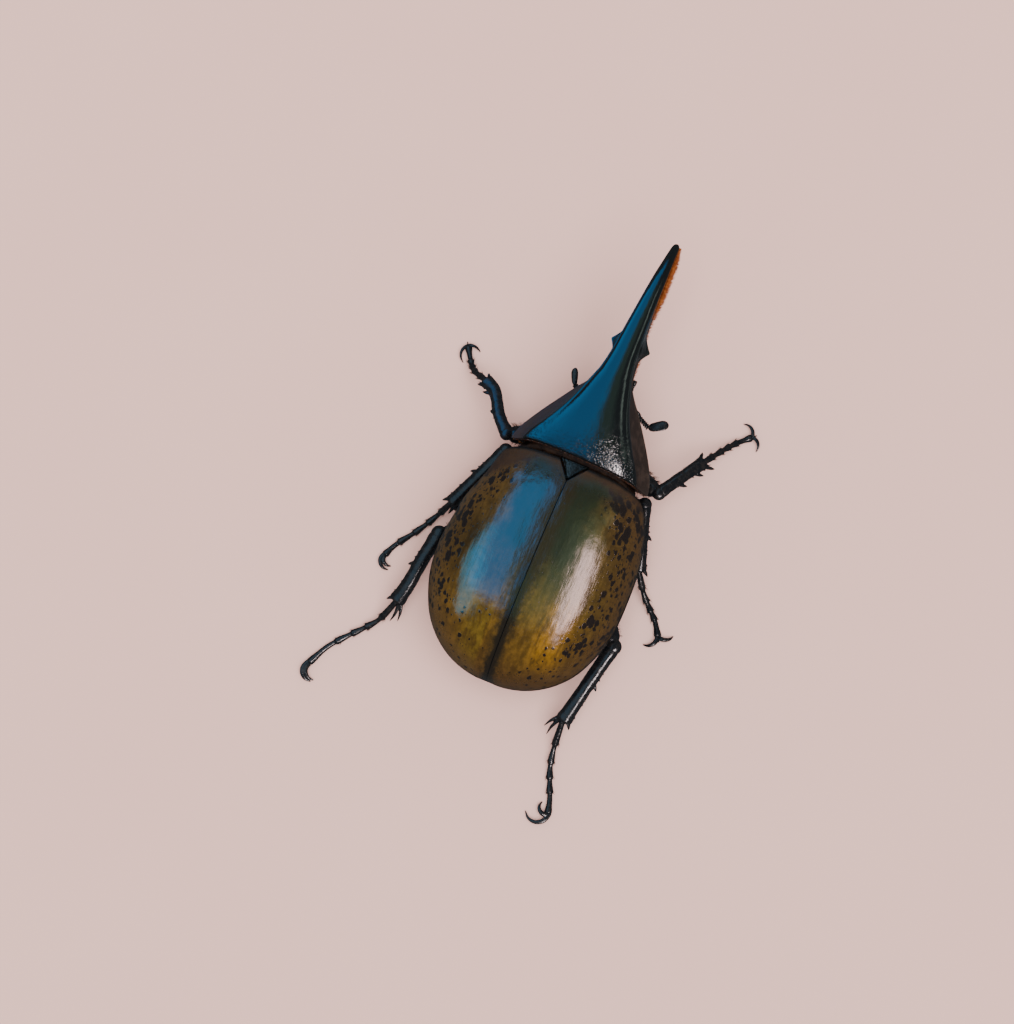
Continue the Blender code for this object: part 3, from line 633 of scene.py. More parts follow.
# Hills and hollows of a wing cover: (x, y, reach, height)
WING_RELIEF = [(11.2, -5.0, 3.6, 0.32), (14.4, -9.0, 4.0, -0.15), (10.5, -36.5, 4.2, 0.28),
               (15.0, -31.0, 5.0, -0.12)]


def wing_relief(x, y, from_rim):
    """How far a wing cover stands out from its plain curve: a groove and a bead at the rim, and hills."""
    height = -0.22 * bump(from_rim - 1.25, 0.5) + 0.10 * bump(from_rim - 0.55, 0.5)
    for centre_x, centre_y, reach, rise in WING_RELIEF:
        height += rise * bump(math.hypot(x - centre_x, (y - centre_y) * 0.8), reach)
    wave = Vector((x * 0.30, y * 0.16, 3.1))
    return height + 0.05 * noise.noise(wave) + 0.018 * noise.noise(wave * 3.7)


def wing_sheet(y, half, depth):
    """Angles and places across one face of a wing cover, from the suture to the margin."""
    start = max(SEAM, scutellum_half(y, GAP))
    first = math.degrees(math.asin(min(1, start / (half - depth)) ** (1 / WING_ARCH)))
    last = WING_COLUMNS - 2
    angles = [first, first + 0.08] + [first + (90 - first) * k / last for k in range(1, last + 1)]
    return angles, [arch(half - depth, wing_crown_z(y) - depth, WING_MARGIN_Z(y), angle) for angle in angles]


def wing_cover(name, side, material):
    """One wing cover: a curved sheet with a rolled rim, a line along the suture and a shoulder knob."""
    ends = [0.0, 0.6, 0.85, 0.97]
    ys = [0.0, -0.05, -0.16, -0.34, -0.6]
    ys += [-0.6 - 43.3 * (0.5 - 0.5 * math.cos(math.pi * k / 150)) for k in range(1, 151)]
    ys += [-44.0, -44.1, -44.17, -44.2]
    bend = (0.25, 0.5, 0.75)
    rings, from_suture, from_rim, from_base = [], [], [], []
    for y, share in zip(ys, ends + [1.0] * (len(ys) - 8) + ends[::-1]):
        half = wing_half_width(y) - tuck(side, y)
        inset = (1 - share) * WING_THICKNESS / 2
        angles, places = wing_sheet(y, half, inset)
        inner = wing_sheet(y, half, WING_THICKNESS - inset)[1]
        lengths = [0.0, *accumulate(math.dist(a, b) for a, b in zip(places, places[1:]))]
        total = lengths[-1]
        outer = []
        for angle, (x, z), length in zip(angles, places, lengths):
            rise = share * wing_relief(x, y, total - length)
            outer.append((x + rise * math.sin(math.radians(angle)), z + rise * math.cos(math.radians(angle))))
        (x0, z0), (x1, z1), (rim_0, _), (rim_1, _) = inner[0], outer[0], outer[-1], inner[-1]
        margin = WING_MARGIN_Z(y)
        rim = [(rim_0 + (rim_1 - rim_0) * t, margin - 0.4 * share * math.sin(math.pi * t)) for t in bend]
        seam = [(x0 + (x1 - x0) * t, z0 + (z1 - z0) * t) for t in bend]
        ring = outer + rim + inner[::-1] + seam
        rings.append([(side * x, swept(x, y, half), z) for x, z in ring])
        from_suture.append(lengths + [total] * len(bend) + lengths[::-1] + [0.0] * len(bend))
        from_rim.append([total - length for length in from_suture[-1]])
        from_base.append([-y] * len(ring))
    marks = {"from_suture": tabled(from_suture), "from_rim": tabled(from_rim), "from_base": tabled(from_base)}
    bm = sleeve(len(rings[0]), len(rings), tabled(rings), marks, open_ends=True)
    piece(f"wing_cover_{name}", bm, material, [f"elytron_{name}"], sharp=60)


def scutellum(material):
    """The small three-sided plate between the wing covers, a little domed."""
    bm = bmesh.new()
    bmesh.ops.create_grid(bm, x_segments=20, y_segments=24, size=1)
    for vert in bm.verts:
        across, back = vert.co.x, (1 - vert.co.y) / 2
        y = SCUTELLUM_FRONT_Y - back * SCUTELLUM_LENGTH * 0.96
        dome = 0.22 * (1 - across**2) * (1 - back)
        lip = 0.10 * bump(abs(across) - 0.9, 0.12)
        x = scutellum_half(y) * across * (1 - 0.25 * back * (1 - back))
        vert.co = (x, y, wing_crown_z(y) - 0.12 + dome + lip - 0.5 * ramp(-back, -0.08, 0))
    bmesh.ops.remove_doubles(bm, verts=bm.verts, dist=0.002)
    bmesh.ops.recalc_face_normals(bm, faces=bm.faces)
    bmesh.ops.solidify(bm, geom=bm.faces[:], thickness=0.75)
    bmesh.ops.recalc_face_normals(bm, faces=bm.faces)
    piece("scutellum_plate", bm, material, ["scutellum"], sharp=40)


def body_outline(y, shrink=0.0):
    """Corners of a section of the hind body, round from the crown on the right."""
    cover = WING_THICKNESS + GAP + 0.1 + shrink
    row = y * (1 + (WING_THICKNESS + GAP) / WING_LENGTH)
    half, crown, margin = wing_half_width(row) - cover, wing_crown_z(row) - cover, WING_MARGIN_Z(y)
    right = [arch(half, crown, margin, angle) for angle in (0, 12, 25, 38, 51, 64, 77, 90)]
    for share in (0.93, 0.8, 0.62, 0.42, 0.2, 0):
        right.append((half * share, margin - (margin - BELLY_Z(y)) * (1 - share**2)))
    left = [(-x * (1 - tuck(-1, y) / half), z) for x, z in reversed(right[1:-1])]
    return [Vector((x, swept(x, y, half), z)) for x, z in right + left]


def plated(name, rows, material, node):
    """A trunk piece through (y, shrink, scale) rows, finely pitted."""
    outlines = [
        [Vector((p.x * scale, p.y, 14 + (p.z - 14) * scale)) for p in body_outline(y, shrink)]
        for y, shrink, scale in rows
    ]

    def form(turn, row):
        place = round_through(outlines[row], turn)
        return place + Vector((0, 0, noise.noise(place * 1.7) * 0.04 + noise.noise(place * 5.0) * 0.02))

    piece(name, sleeve(160, len(rows), form), material, [node])


def hind_thorax(material):
    """Breast plates behind the shield, with the neck that meets it and their seams pressed in."""
    rows = [(0.62, 0, 0.5), (0.6, 0, 0.66), (0.35, 0, 0.70), (0.1, 0.1, 0.74), (-0.3, 0.3, 0.9), (-0.6, 0, 1)]
    y = -1.0
    while y > WAIST_Y + GAP:
        rows.append((y, 0.35 * max(bump(y - seam, 0.55) for seam in BREAST_SEAMS), 1))
        y -= 0.25
    rows += [(WAIST_Y + 0.16, 0.35, 1), (WAIST_Y + 0.15, 1.2, 0.97)]
    plated("breast_plates", rows, material, "hind_thorax")


def abdomen(material):
    """Belly plates, each lapping over the next."""
    rows = [(PLATE_ENDS[0] + 0.01, 1.4, 0.97)]
    for start, end in zip(PLATE_ENDS, PLATE_ENDS[1:]):
        for k in range(10):
            share = k / 9
            lap = 0.42 * (1 - ramp(share, 0.0, 0.28)) + 0.12 * ramp(share, 0.86, 1.0)
            rows.append((start + (end + 0.12 - start) * share, lap, 1))
    rows += [(PLATE_ENDS[-1] + 0.06, 0.7, 0.96), (PLATE_ENDS[-1] + 0.01, 1.4, 0.85)]
    plated("belly_plates", rows, material, "abdomen")


def shield_outline(y, under_z):
    """Corners of a section of the shield or horn, round from the crown on the right.

    Corner 0 is the crown, 4 the ridge, 7 the edge with the horn's tooth, and 12 the keel underneath.
    """
    edge, ridge = SHIELD_EDGE(y), SHIELD_RIDGE(y)
    crown_z, ridge_z, edge_z = SHIELD_CROWN_Z(y), SHIELD_RIDGE_Z(y), SHIELD_EDGE_Z(y)
    dome, wall, depth, flank = crown_z - ridge_z, ridge_z - edge_z, edge_z - under_z, edge - ridge
    bead = min(0.35, 0.12 * (crown_z - under_z), 0.25 * depth)
    tooth = max(0, 1 - abs(y - HORN_TOOTH_Y) / 2.6) ** 1.35 * 1.55
    right = [
        (0, crown_z),
        (0.38 * ridge, crown_z - 0.09 * dome),
        (0.70 * ridge, crown_z - 0.37 * dome),
        (0.90 * ridge, crown_z - 0.72 * dome),
        (ridge, ridge_z),
        (ridge + 0.42 * flank + 0.1 * tooth, ridge_z - 0.55 * wall),
        (edge - 0.1 * flank + 0.6 * tooth, edge_z + bead - 0.55 * tooth),
        (edge + tooth, edge_z - 0.6 * tooth),
        (0.94 * edge + 0.85 * tooth, edge_z - bead - 0.7 * tooth),
        (0.84 * edge + 0.35 * tooth, edge_z - 0.30 * depth - 0.25 * tooth),
        (0.62 * edge, edge_z - 0.74 * depth),
        (0.30 * edge, under_z + 0.06 * depth),
        (0, under_z),
    ]
    return right + [(-x, z) for x, z in reversed(right[1:-1])]


def shield_under_z(y):
    """The underside: the breast, then a steep front wall, then the underside of the horn."""
    share = ramp(y, SHIELD_FRONT_Y - 0.45, SHIELD_FRONT_Y + 0.3)
    return BREAST_Z(y) * (1 - share) + HORN_UNDER_Z(y) * share


def shield_place(turn, y, shrink=1.0):
    """A place on the shield or the horn, with turn 0 on the crown and 0.25 on the right."""
    under_z = shield_under_z(y)
    middle = (SHIELD_CROWN_Z(y) + under_z) / 2
    outline = shield_outline(y, under_z)
    x, z = round_through([Vector((x * shrink, middle + (z - middle) * shrink)) for x, z in outline], turn)
    sweep = SHIELD_CORNER_SWEEP * (1 - ramp(y, SHIELD_BASE_Y, 5.0))
    return Vector((x, y - sweep * min(abs(x / SHIELD_EDGE(SHIELD_BASE_Y)), 1) ** 4, z))


def shield_under(turn, y):
    """A root under the shield or the horn, the way along it and the way out of it."""
    root = shield_place(turn, y)
    along = shield_place(turn, y + 0.2) - root
    out = (shield_place(turn + 0.01, y) - root).cross(along).normalized()
    return root, along.normalized(), -out if out.z > 0 else out


def shield(material):
    """The shield over the prothorax and the long upper horn, one shell without a seam."""
    rows = [(0.5, 0.70), (0.4, 0.80), (0.16, 0.88), (0.02, 0.935), (0, 0.965), (0.05, 0.985), (0.16, 0.996)]
    rows = [(SHIELD_BASE_Y + ahead, shrink) for ahead, shrink in rows]
    y = SHIELD_BASE_Y + 0.32
    while y < HORN_TIP_Y - 0.5:
        rows.append((y, 1.0))
        y += 0.30 - 0.21 * bump(y - SHIELD_FRONT_Y, 1.2)
    tip = [(0.4, 0.95), (0.25, 0.84), (0.12, 0.66), (0.04, 0.42), (0, 0.15)]
    rows += [(HORN_TIP_Y - short, shrink) for short, shrink in tip]

    def form(turn, row):
        y, shrink = rows[row]
        place = shield_place(turn, y, shrink)
        wave = Vector((place.x * 0.25, y * 0.2, place.z * 0.25))
        return place + Vector((0, 0, 0.05 * noise.noise(wave) * ramp(shrink, 0.9, 1.0)))

    def corner(turn):
        return 24 * min(turn, 1 - turn)

    def flank(turn, row):
        band = ramp(corner(turn), 3.95, 4.35) * (1 - ramp(corner(turn), 6.35, 6.75))
        return band * (1 - ramp(rows[row][0], 12.0, 31.0))

    marks = {
        "flank": flank,
        "under": lambda turn, row: ramp(corner(turn), 7.6, 8.6),
        "ahead": lambda turn, row: rows[row][0],
        "across": lambda turn, row: shield_place(turn, rows[row][0]).x,
    }
    bm = sleeve(144, len(rows), form, marks)
    piece("shield_and_horn", bm, material, ["pronotum", "thoracic_horn"], FRONT)


HEAD_HORN_PATH = [(0, 16.9, 14.6), (0, 19.8, 14.2), (0, 23.5, 13.3), (0, 27.5, 13.2), (0, 31.5, 14.5),
                  (0, 34.6, 16.7), (0, 36.4, 18.7)]
HEAD_HORN_SECTIONS = [(0, 1.75, 1.5), (0.15, 1.4, 1.38), (0.35, 1.2, 1.3), (0.55, 1.05, 1.15),
                      (0.75, 0.85, 0.95), (0.9, 0.65, 0.7), (1, 0.3, 0.3)]


def head_capsule():
    """The head behind the lower horn: squared section, narrowing to the mouth."""
    rows = [(12.0, 0.74), (12.5, 0.78), (12.9, 0.80), (13.1, 0.82), (13.25, 0.92), (13.4, 0.98)]
    rows += [(13.6 + 0.16 * k, 1.0) for k in range(33)]
    rows += [(18.95, 0.97), (19.1, 0.88), (19.2, 0.72)]

    def squared(share):
        return math.copysign(abs(share) ** 0.8, share)

    def form(turn, row):
        y, shrink = rows[row]
        top, under = HEAD_TOP_Z(y), HEAD_UNDER_Z(y)
        angle = 2 * math.pi * turn
        x = squared(math.sin(angle)) * HEAD_HALF_WIDTH(y) * shrink
        return Vector((x, y, (top + under) / 2 + squared(math.cos(angle)) * (top - under) / 2 * shrink))

    return sleeve(56, len(rows), form)


def head(material):
    """The head and its horn in one skin: brows over the eyes, a notched lip and the horn's tooth."""

    def keeled(fraction, turn):
        grain = noise.noise(Vector((turn * 3, fraction * 14, 0)))
        return 1 + 0.07 * math.cos(4 * math.pi * turn) + 0.03 * grain

    parts = [
        head_capsule(),
        Limb(HEAD_HORN_PATH, HEAD_HORN_SECTIONS).mesh(40, 110, keeled, blunt=0.8),
        thorn((0, 25.0, 12.9), (0, 26.6, 15.9), 0.95, (0, -0.25, 0), around=18, rows=16, end=0.12),
        thorn((0, 33.1, 15.0), (0, 33.6, 17.2), 0.55, (0, -0.1, 0), around=14, rows=12, end=0.1),
    ]
    x = EYE_CENTRE[0]
    for side in (1, -1):
        brow = [(side * 2.8, 14.3, 13.9), (side * (x - 0.2), 15.2, 13.3), (side * (x + 0.25), 16.1, 12.0)]
        cheek = [(side * 3.9, 13.6, 10.3), (side * 4.1, 15.3, 10.3), (side * 3.9, 16.6, 11.2)]
        parts += [
            Limb(brow, [(0, 0.5, 0.4), (0.5, 0.55, 0.36), (1, 0.28, 0.25)]).mesh(20, 30),
            Limb(cheek, [(0, 0.4, 0.35), (0.5, 0.45, 0.36), (1, 0.3, 0.25)]).mesh(18, 24),
            orb((side * 0.95, 19.35, 12.0), (1.0, 0.55, 0.32), 24),
            orb((side * 1.9, 17.6, 10.0), (0.75, 1.0, 0.6), 20),
        ]
    piece("head_and_horn", fused(parts, 0.12, 3), material, ["head", "head_horn"], FRONT)


def eye(name, side, material):
    x, y, z = EYE_CENTRE
    bm = orb((side * x, y, z), (EYE_RADIUS * 0.98, EYE_RADIUS, EYE_RADIUS * 0.96), 40)
    piece(f"eye_ball_{name}", bm, material, [f"eye_{name}"], FRONT)


def mandible(name, side, material):
    """A flat jaw with two blunt teeth inside."""
    path = [(side * 1.45, 18.7, 11.3), (side * 1.85, 20.2, 11.2), (side * 1.45, 21.2, 11.4)]
    parts = [
        Limb(path, [(0, 0.75, 0.45), (0.5, 0.72, 0.4), (1, 0.3, 0.22)]).mesh(24, 30),
        thorn((side * 1.5, 20.3, 11.25), (side * 0.85, 20.75, 11.3), 0.28),
        thorn((side * 1.7, 20.5, 11.25), (side * 1.55, 21.35, 11.75), 0.3),
    ]
    piece(f"jaw_{name}", fused(parts, 0.07, 2), material, [f"mandible_{name}"], FRONT)


def jointed(path, joints, around=16, rows=90):
    """A feeler of bead-like joints. Joints are (end fraction, neck radius, end radius)."""
    limb = Limb(path)

    def form(turn, row):
        fraction = row / (rows - 1)
        start = 0.0
        for end, neck, wide in joints:
            if fraction <= end + 1e-9:
                break
            start = end
        share = (fraction - start) / (end - start)
        radius = neck + (wide - neck) * ramp(share, 0.05, 0.75)
        radius *= math.sqrt(max(1 - max(0, (share - 0.86) / 0.14) ** 2 * 0.75, 0.05))
        if row in (0, rows - 1):
            radius *= 0.35
        return limb.surface(fraction, turn, radius)[0]

    return sleeve(around, rows, form)


def palp(name, side, material):
    path = [(side * 1.9, 17.2, 9.6), (side * 2.4, 18.2, 8.7), (side * 2.8, 19.8, 8.2),
            (side * 2.7, 21.4, 8.6)]
    bm = jointed(path, [(0.22, 0.2, 0.3), (0.46, 0.18, 0.36), (0.66, 0.17, 0.33), (1.0, 0.18, 0.40)])
    piece(f"mouth_feeler_{name}", bm, material, [f"palp_{name}"], FRONT)


CLUB_LEAF = [(0, 0.5, 0.15), (0.25, 0.9, 0.18), (0.7, 1.0, 0.19), (1, 0.55, 0.12)]


def antenna(name, path, club, breadth, material):
    """A feeler: a long first joint, six short ones and a club of three leaves."""
    joints = [(0.42, 0.36, 0.56)]
    joints += [(0.42 + 0.58 * (k + 1) / 6, 0.38, 0.52 + 0.02 * k) for k in range(6)]
    parts = [jointed(path, joints, 18, 120)]
    root, tip = Vector(path[-1]), Vector(club)
    way = (tip - root).normalized()
    across = way.cross(UP).normalized()
    leaf = [(fraction, width * breadth, height) for fraction, width, height in CLUB_LEAF]
    for lift, spread in ((0.34, 0.12), (0.0, 0.0), (-0.34, -0.12)):
        offset = Vector((0, 0, lift)) + across * spread
        line = [root - way * 0.1 + offset * 0.3, root.lerp(tip, 0.5) + offset, tip + offset]
        parts.append(Limb(line, leaf).mesh(20, 26))
    piece(f"feeler_{name}", gathered(parts), material, [f"antenna_{name}"], FRONT)


# Where the hips of a pair of legs sit on the right, their radii, and the girth of the legs
PAIRS = {
    "fore": ((5.0, 5.6, 6.2), (3.3, 1.9, 2.1), 1.0),
    "middle": ((5.5, -7.4, 6.3), (3.2, 1.9, 1.9), 1.0),
    "hind": ((6.6, -18.7, 6.5), (4.2, 1.9, 1.8), 1.15),
}


class Leg:
    """The places and sizes of one leg, from the hip to the claws.

    A spine is (place along the shin, side, reach sideways, reach ahead), with side +1 to the right of
    the way the shin points. The first one stands outside, away from the body. A claw is (start angle,
    turn, length), in degrees to the left seen from above. Bow bends the end of the shin to its right,
    and hook is the girth of the claws.
    """

    def __init__(self, pair, name, hip, knee, ankle, foot, spines, claws, bow=0.0, hook=1.0):
        (x, y, z), self.coxa_radii, self.girth = PAIRS[pair]
        self.place = f"{pair}_{name}"
        self.coxa = Vector((SIDES[name] * x, y, z))
        self.hip, self.knee, self.ankle = Vector(hip), Vector(knee), Vector(ankle)
        self.foot = [Vector(point) for point in foot]
        self.spines, self.claws, self.bow, self.hook = spines, claws, bow, hook
        self.outside = spines[0][1]

    def limb(self, path, *sections):
        """A limb whose sections are for a leg of girth 1."""
        g = self.girth
        return Limb(path, [(fraction, width * g, height * g) for fraction, width, height in sections])

    def thigh(self):
        middle = self.hip.lerp(self.knee, 0.5) + Vector((0, 0, 0.12))
        return self.limb([self.hip, middle, self.knee], (0, 0.95, 0.85), (0.12, 1.45, 1.12),
                         (0.4, 2.0, 1.35), (0.7, 1.85, 1.3), (0.9, 1.55, 1.25), (1, 1.3, 1.15))

    def shin(self):
        outward = (self.ankle - self.knee).normalized() + (self.knee - self.hip).normalized()
        start = self.knee + outward.normalized() * 0.15 * self.girth
        right = (self.ankle - start).cross(UP).normalized()
        near = start.lerp(self.ankle, 0.34) + Vector((0, 0, 0.4))
        far = start.lerp(self.ankle, 0.74) + Vector((0, 0, 0.35)) + right * self.bow
        return self.limb([start, near, far, self.ankle], (0, 1.15, 1.05), (0.08, 1.34, 1.15),
                         (0.2, 1.22, 1.0), (0.45, 1.22, 1.02), (0.8, 1.28, 1.06), (0.94, 1.42, 1.12),
                         (1, 1.2, 0.95))

    def sole(self):
        return Limb([self.ankle - (self.foot[0] - self.ankle).normalized() * 0.5, *self.foot])


def rear_spines(outer, tooth, spur):
    teeth = [(0.45, outer, 0.6, 0.7), (0.96, outer, 0.4, tooth)]
    return [*teeth, (0.93, -outer, 1.1, spur), (0.97, -outer, -0.2, spur + 0.6)]


LEGS = [
    Leg("fore", "left", (-8.2, 5.2, 5.5), (-15.3, 1.9, 9.0), (-24.1, 10.8, 6.3),
        [(-26.9, 12.0, 3.4), (-28.7, 13.8, 1.3), (-30.6, 16.7, 0.4)],
        [(0.4, -1, 0.3, 0.3), (0.7, -1, 0.9, 0.8), (0.96, -1, 0.4, 0.8), (0.96, 1, 0.0, 0.9)],
        [(115, 80, 4.0), (-105, -50, 2.8)], bow=0.95, hook=0.72),
    Leg("fore", "right", (8.2, 5.2, 5.5), (16.2, 2.2, 9.0), (22.3, 12.0, 6.2),
        [(24.3, 15.4, 3.2), (26.4, 18.4, 1.1), (28.9, 20.9, 0.4)],
        [(0.4, 1, 0.8, 0.7), (0.68, 1, 0.9, 0.9), (0.96, 1, 1.0, 1.1), (0.96, -1, 0.5, 1.2)],
        [(60, 80, 3.5), (-60, -80, 3.28)], hook=0.8),
    Leg("middle", "left", (-8.6, -6.8, 5.5), (-14.2, -1.0, 9.2), (-20.9, -14.6, 4.9),
        [(-22.8, -17.7, 2.4), (-25.3, -21.6, 0.9), (-28.3, -25.8, 0.4), (-29.6, -28.6, 0.4)],
        rear_spines(1, 1.2, 1.4), [(35, 90, 2.9), (15, 100, 3.9)]),
    Leg("middle", "right", (8.6, -6.8, 5.5), (14.6, -0.6, 9.2), (18.6, -13.0, 5.2),
        [(21.0, -16.3, 2.2), (23.2, -18.5, 0.9), (25.1, -20.4, 0.4), (26.7, -22.9, 0.4)],
        rear_spines(-1, 1.2, 1.4), [(50, 70, 3.2), (-35, -80, 3.6)]),
    Leg("hind", "left", (-10.8, -19.2, 5.6), (-19.9, -20.9, 9.0), (-23.3, -36.6, 4.4),
        [(-25.2, -40.7, 1.9), (-27.6, -43.6, 0.8), (-30.1, -46.3, 0.4), (-32.9, -49.8, 0.4),
         (-35.1, -54.2, 0.4)],
        rear_spines(1, 1.2, 3.7), [(22, 92, 4.0), (10, 100, 4.6)], bow=-0.3, hook=1.2),
    Leg("hind", "right", (10.8, -19.6, 5.6), (19.6, -28.2, 8.8), (15.9, -45.6, 4.4),
        [(16.2, -50.4, 1.9), (16.9, -54.3, 0.8), (18.1, -57.5, 0.4), (19.3, -60.4, 0.4),
         (20.0, -63.0, 0.4)],
        rear_spines(-1, 1.2, 3.7), [(-35, -115, 6.2), (-95, -115, 3.6)]),
]


def above_floor(bm):
    """Presses what would sink into the floor flat on it."""
    for vert in bm.verts:
        vert.co.z = max(vert.co.z, LOWEST_Z)
    return bm


def coxa(leg, material):
    """The hip joint, a rough ball in its socket."""
    bm = orb(leg.coxa, leg.coxa_radii, 48)
    for vert in bm.verts:
        vert.co += (vert.co - leg.coxa).normalized() * 0.10 * noise.noise(vert.co * 0.9)
    frame_of = FRONT if leg.place.startswith("fore") else BODY
    piece(f"hip_{leg.place}", bm, material, [f"coxa_{leg.place}"], frame_of)


def femur(leg, material):
    """The stout thigh with its small hip piece and a round knee."""
    g = leg.girth
    thigh = leg.thigh()

    def ridged(fraction, turn):
        grain = noise.noise(Vector((turn * 4, fraction * 6, g)))
        return 1 + 0.035 * math.cos(6 * math.pi * turn) + 0.02 * grain

    inward = (leg.coxa - leg.hip).normalized()
    down = (leg.ankle - leg.knee).normalized()
    knee = leg.knee + down * 0.25 * g + thigh.axes(0.96)[1] * 0.1 * g
    parts = [
        thigh.mesh(36, 60, ridged),
        orb(leg.hip + inward * 0.5 * g, (1.0 * g, 1.0 * g, 0.85 * g), 24),
        orb(knee, (1.42 * g, 1.42 * g, 1.16 * g), 28),
    ]
    piece(f"thigh_{leg.place}", fused(parts, 0.13, 3), material, [f"femur_{leg.place}"])


def tibia(leg, material):
    """The shin, ribbed along its length and wider to its end, with teeth outside and spurs at the end."""
    g = leg.girth
    shin = leg.shin()

    def ribbed(fraction, turn):
        ribs = 0.06 * abs(math.cos(4 * math.pi * (turn + 0.06))) ** 3
        waist = -0.05 * bump(fraction - 0.52, 0.05) - 0.04 * bump(fraction - 0.3, 0.04)
        return 0.98 + ribs + waist + 0.03 * noise.noise(Vector((turn * 5, fraction * 9, g * 3)))

    parts = [shin.mesh(36, 90, ribbed, blunt=0.7)]
    for fraction, side, sideways, reach in leg.spines:
        centre, ahead, across, _ = shin.axes(min(fraction, 0.985))
        root = centre - ahead * 0.55 + across * side * 0.45 * g
        tip = centre + across * side * (1.3 * g + sideways) + ahead * reach - Vector((0, 0, 0.3))
        long = (tip - root).length
        width = 0.5 if long > 3.4 else 0.58
        parts.append(thorn(root, tip, width, across * side * 0.06 * long, around=14, rows=18, end=0.09))
    for k in range(7):
        turn, tip = (0.5 + (k - 3) * 0.115) % 1, (0.22, 0.75 + 0.2 * (k % 2))
        parts.append(shin.tooth(0.955, turn, (-0.45, -0.3), tip, 0.2, ahead_at=0.97))
    for k, fraction in enumerate((0.3, 0.37, 0.58, 0.64, 0.82)):
        turn = (0.25 if leg.outside > 0 else 0.75) + 0.06 * (k % 3 - 1)
        parts.append(shin.tooth(fraction, turn, (-0.4, 0), (0.35, 0.45), 0.24))
    bm = above_floor(fused(parts, 0.10, 2))
    piece(f"shin_{leg.place}", bm, material, [f"tibia_{leg.place}"])


def sole_radius(fraction):
    """The half width of a foot: five joints, each narrow at its root and flared at its end."""
    index = max(k for k in range(5) if fraction >= FOOT_JOINTS[k] - 1e-9)
    start, end = FOOT_JOINTS[index], FOOT_JOINTS[index + 1]
    share = (fraction - start) / (end - start)
    neck = 0.52 if index else 0.62
    if index == 4:
        radius = neck + 0.12 * share + (0.68 - neck) * ramp(share, 0.45, 0.9)
    else:
        radius = neck + (0.74 - neck) * ramp(share, 0.08, 0.85)
    return radius * (1 - 0.3 * ramp(share, 0.92, 1.0))


def tarsus(leg, material):
    """The foot: four flared joints with points under their ends, and a long last joint."""
    sole = leg.sole()
    rows = 130

    def form(turn, row):
        fraction = row / (rows - 1)
        radius = sole_radius(fraction) * (0.5 if row in (0, rows - 1) else 1)
        return sole.surface(fraction, turn, radius * (1 + 0.05 * math.cos(4 * math.pi * turn)))[0]

    parts = [sleeve(24, rows, form)]
    for end in FOOT_JOINTS[1:5]:
        place = end - 0.02
        for turn in (0.36, 0.64):
            swell = sole_radius(place - 0.01)
            parts.append(sole.tooth(place, turn, (-0.3, -0.1), (0.14, 0.36), 0.2, swell))
    bm = above_floor(fused(parts, 0.075, 2))
    piece(f"foot_{leg.place}", bm, material, [f"tarsus_{leg.place}"])


def claw_path(leg, side, start, turn, length):
    """A claw leaves the end of a foot and curves down to the floor."""
    before, end = leg.foot[-2:]
    heading = math.atan2(end.y - before.y, end.x - before.x)
    aim = Matrix.Rotation(heading, 3, "Z")
    points = [end + aim @ Vector((-0.65 + 0.08 * side, 0.1 * side, 0))]
    points.append(end + aim @ Vector((0.15, 0.14 * side, 0.1)))
    for step in range(4):
        angle = heading + math.radians(start + turn * step / 3)
        points.append(points[-1] + Vector((math.cos(angle), math.sin(angle), 0)) * length / 4)
    heights = [end.z + rise for rise in (0, 0.15, 0.45, 0.4, 0.15)]
    for point, height in zip(points, [*heights, 0.2]):
        point.z = height
    return points


def claws(leg, material):
    """Two hooked claws and the small bristled pad between them."""
    sections = [(f, leg.hook * r) for f, r in ((0, 0.42), (0.2, 0.5), (0.45, 0.45), (0.7, 0.34), (1, 0.09))]
    parts = []
    for side, shape in zip((1, -1), leg.claws):
        parts.append(Limb(claw_path(leg, side, *shape), sections).mesh(18, 60))
    before, end = leg.foot[-2:]
    ahead = (end - before).normalized()
    tip = end + ahead * 1.15 + Vector((0, 0, 0.1))
    parts.append(Limb([end - ahead * 0.3, end.lerp(tip, 0.5), tip], [(0, 0.13), (1, 0.1)]).mesh(10, 20))
    piece(f"claws_{leg.place}", above_floor(gathered(parts)), material, ())


def horn_brush(material):
    """The orange pile along the underside of the upper horn, combed out to the right near the tip."""
    coat = Coat(7)
    draw = coat.draw
    y = 15.5
    while y < 46.6:
        combed = ramp(y, 29, 36)
        for _ in range(int(7 + 11 * ramp(y, 15.5, 20) + 16 * combed)):
            turn = 0.5 + draw.uniform(-0.16 - 0.05 * combed, 0.16 - 0.06 * combed)
            at = y + draw.uniform(-0.1, 0.1)
            root, along, out = shield_under(turn, at)
            way = out + along * draw.uniform(0.15, 0.6)
            way += Vector((draw.uniform(-0.2, 0.2) + 0.9 * combed, 0, draw.uniform(-0.1, 0.15)))
            at_edge = ramp(0.45 - turn, 0.0, 0.12) * combed
            length = draw.uniform(0.6, 1.1) * (0.35 + 0.65 * ramp(y, 15.5, 22)) + 0.12 * at_edge
            length *= 1 - 0.6 * ramp(y, 42, 46.8)
            coat.add(root - out * 0.15, way, length + 0.15, 0.06, (0, 0.22, -0.10), (turn, (at - 15) / 33))
        y += 0.13
    coat.grow("horn_brush", material, FRONT)


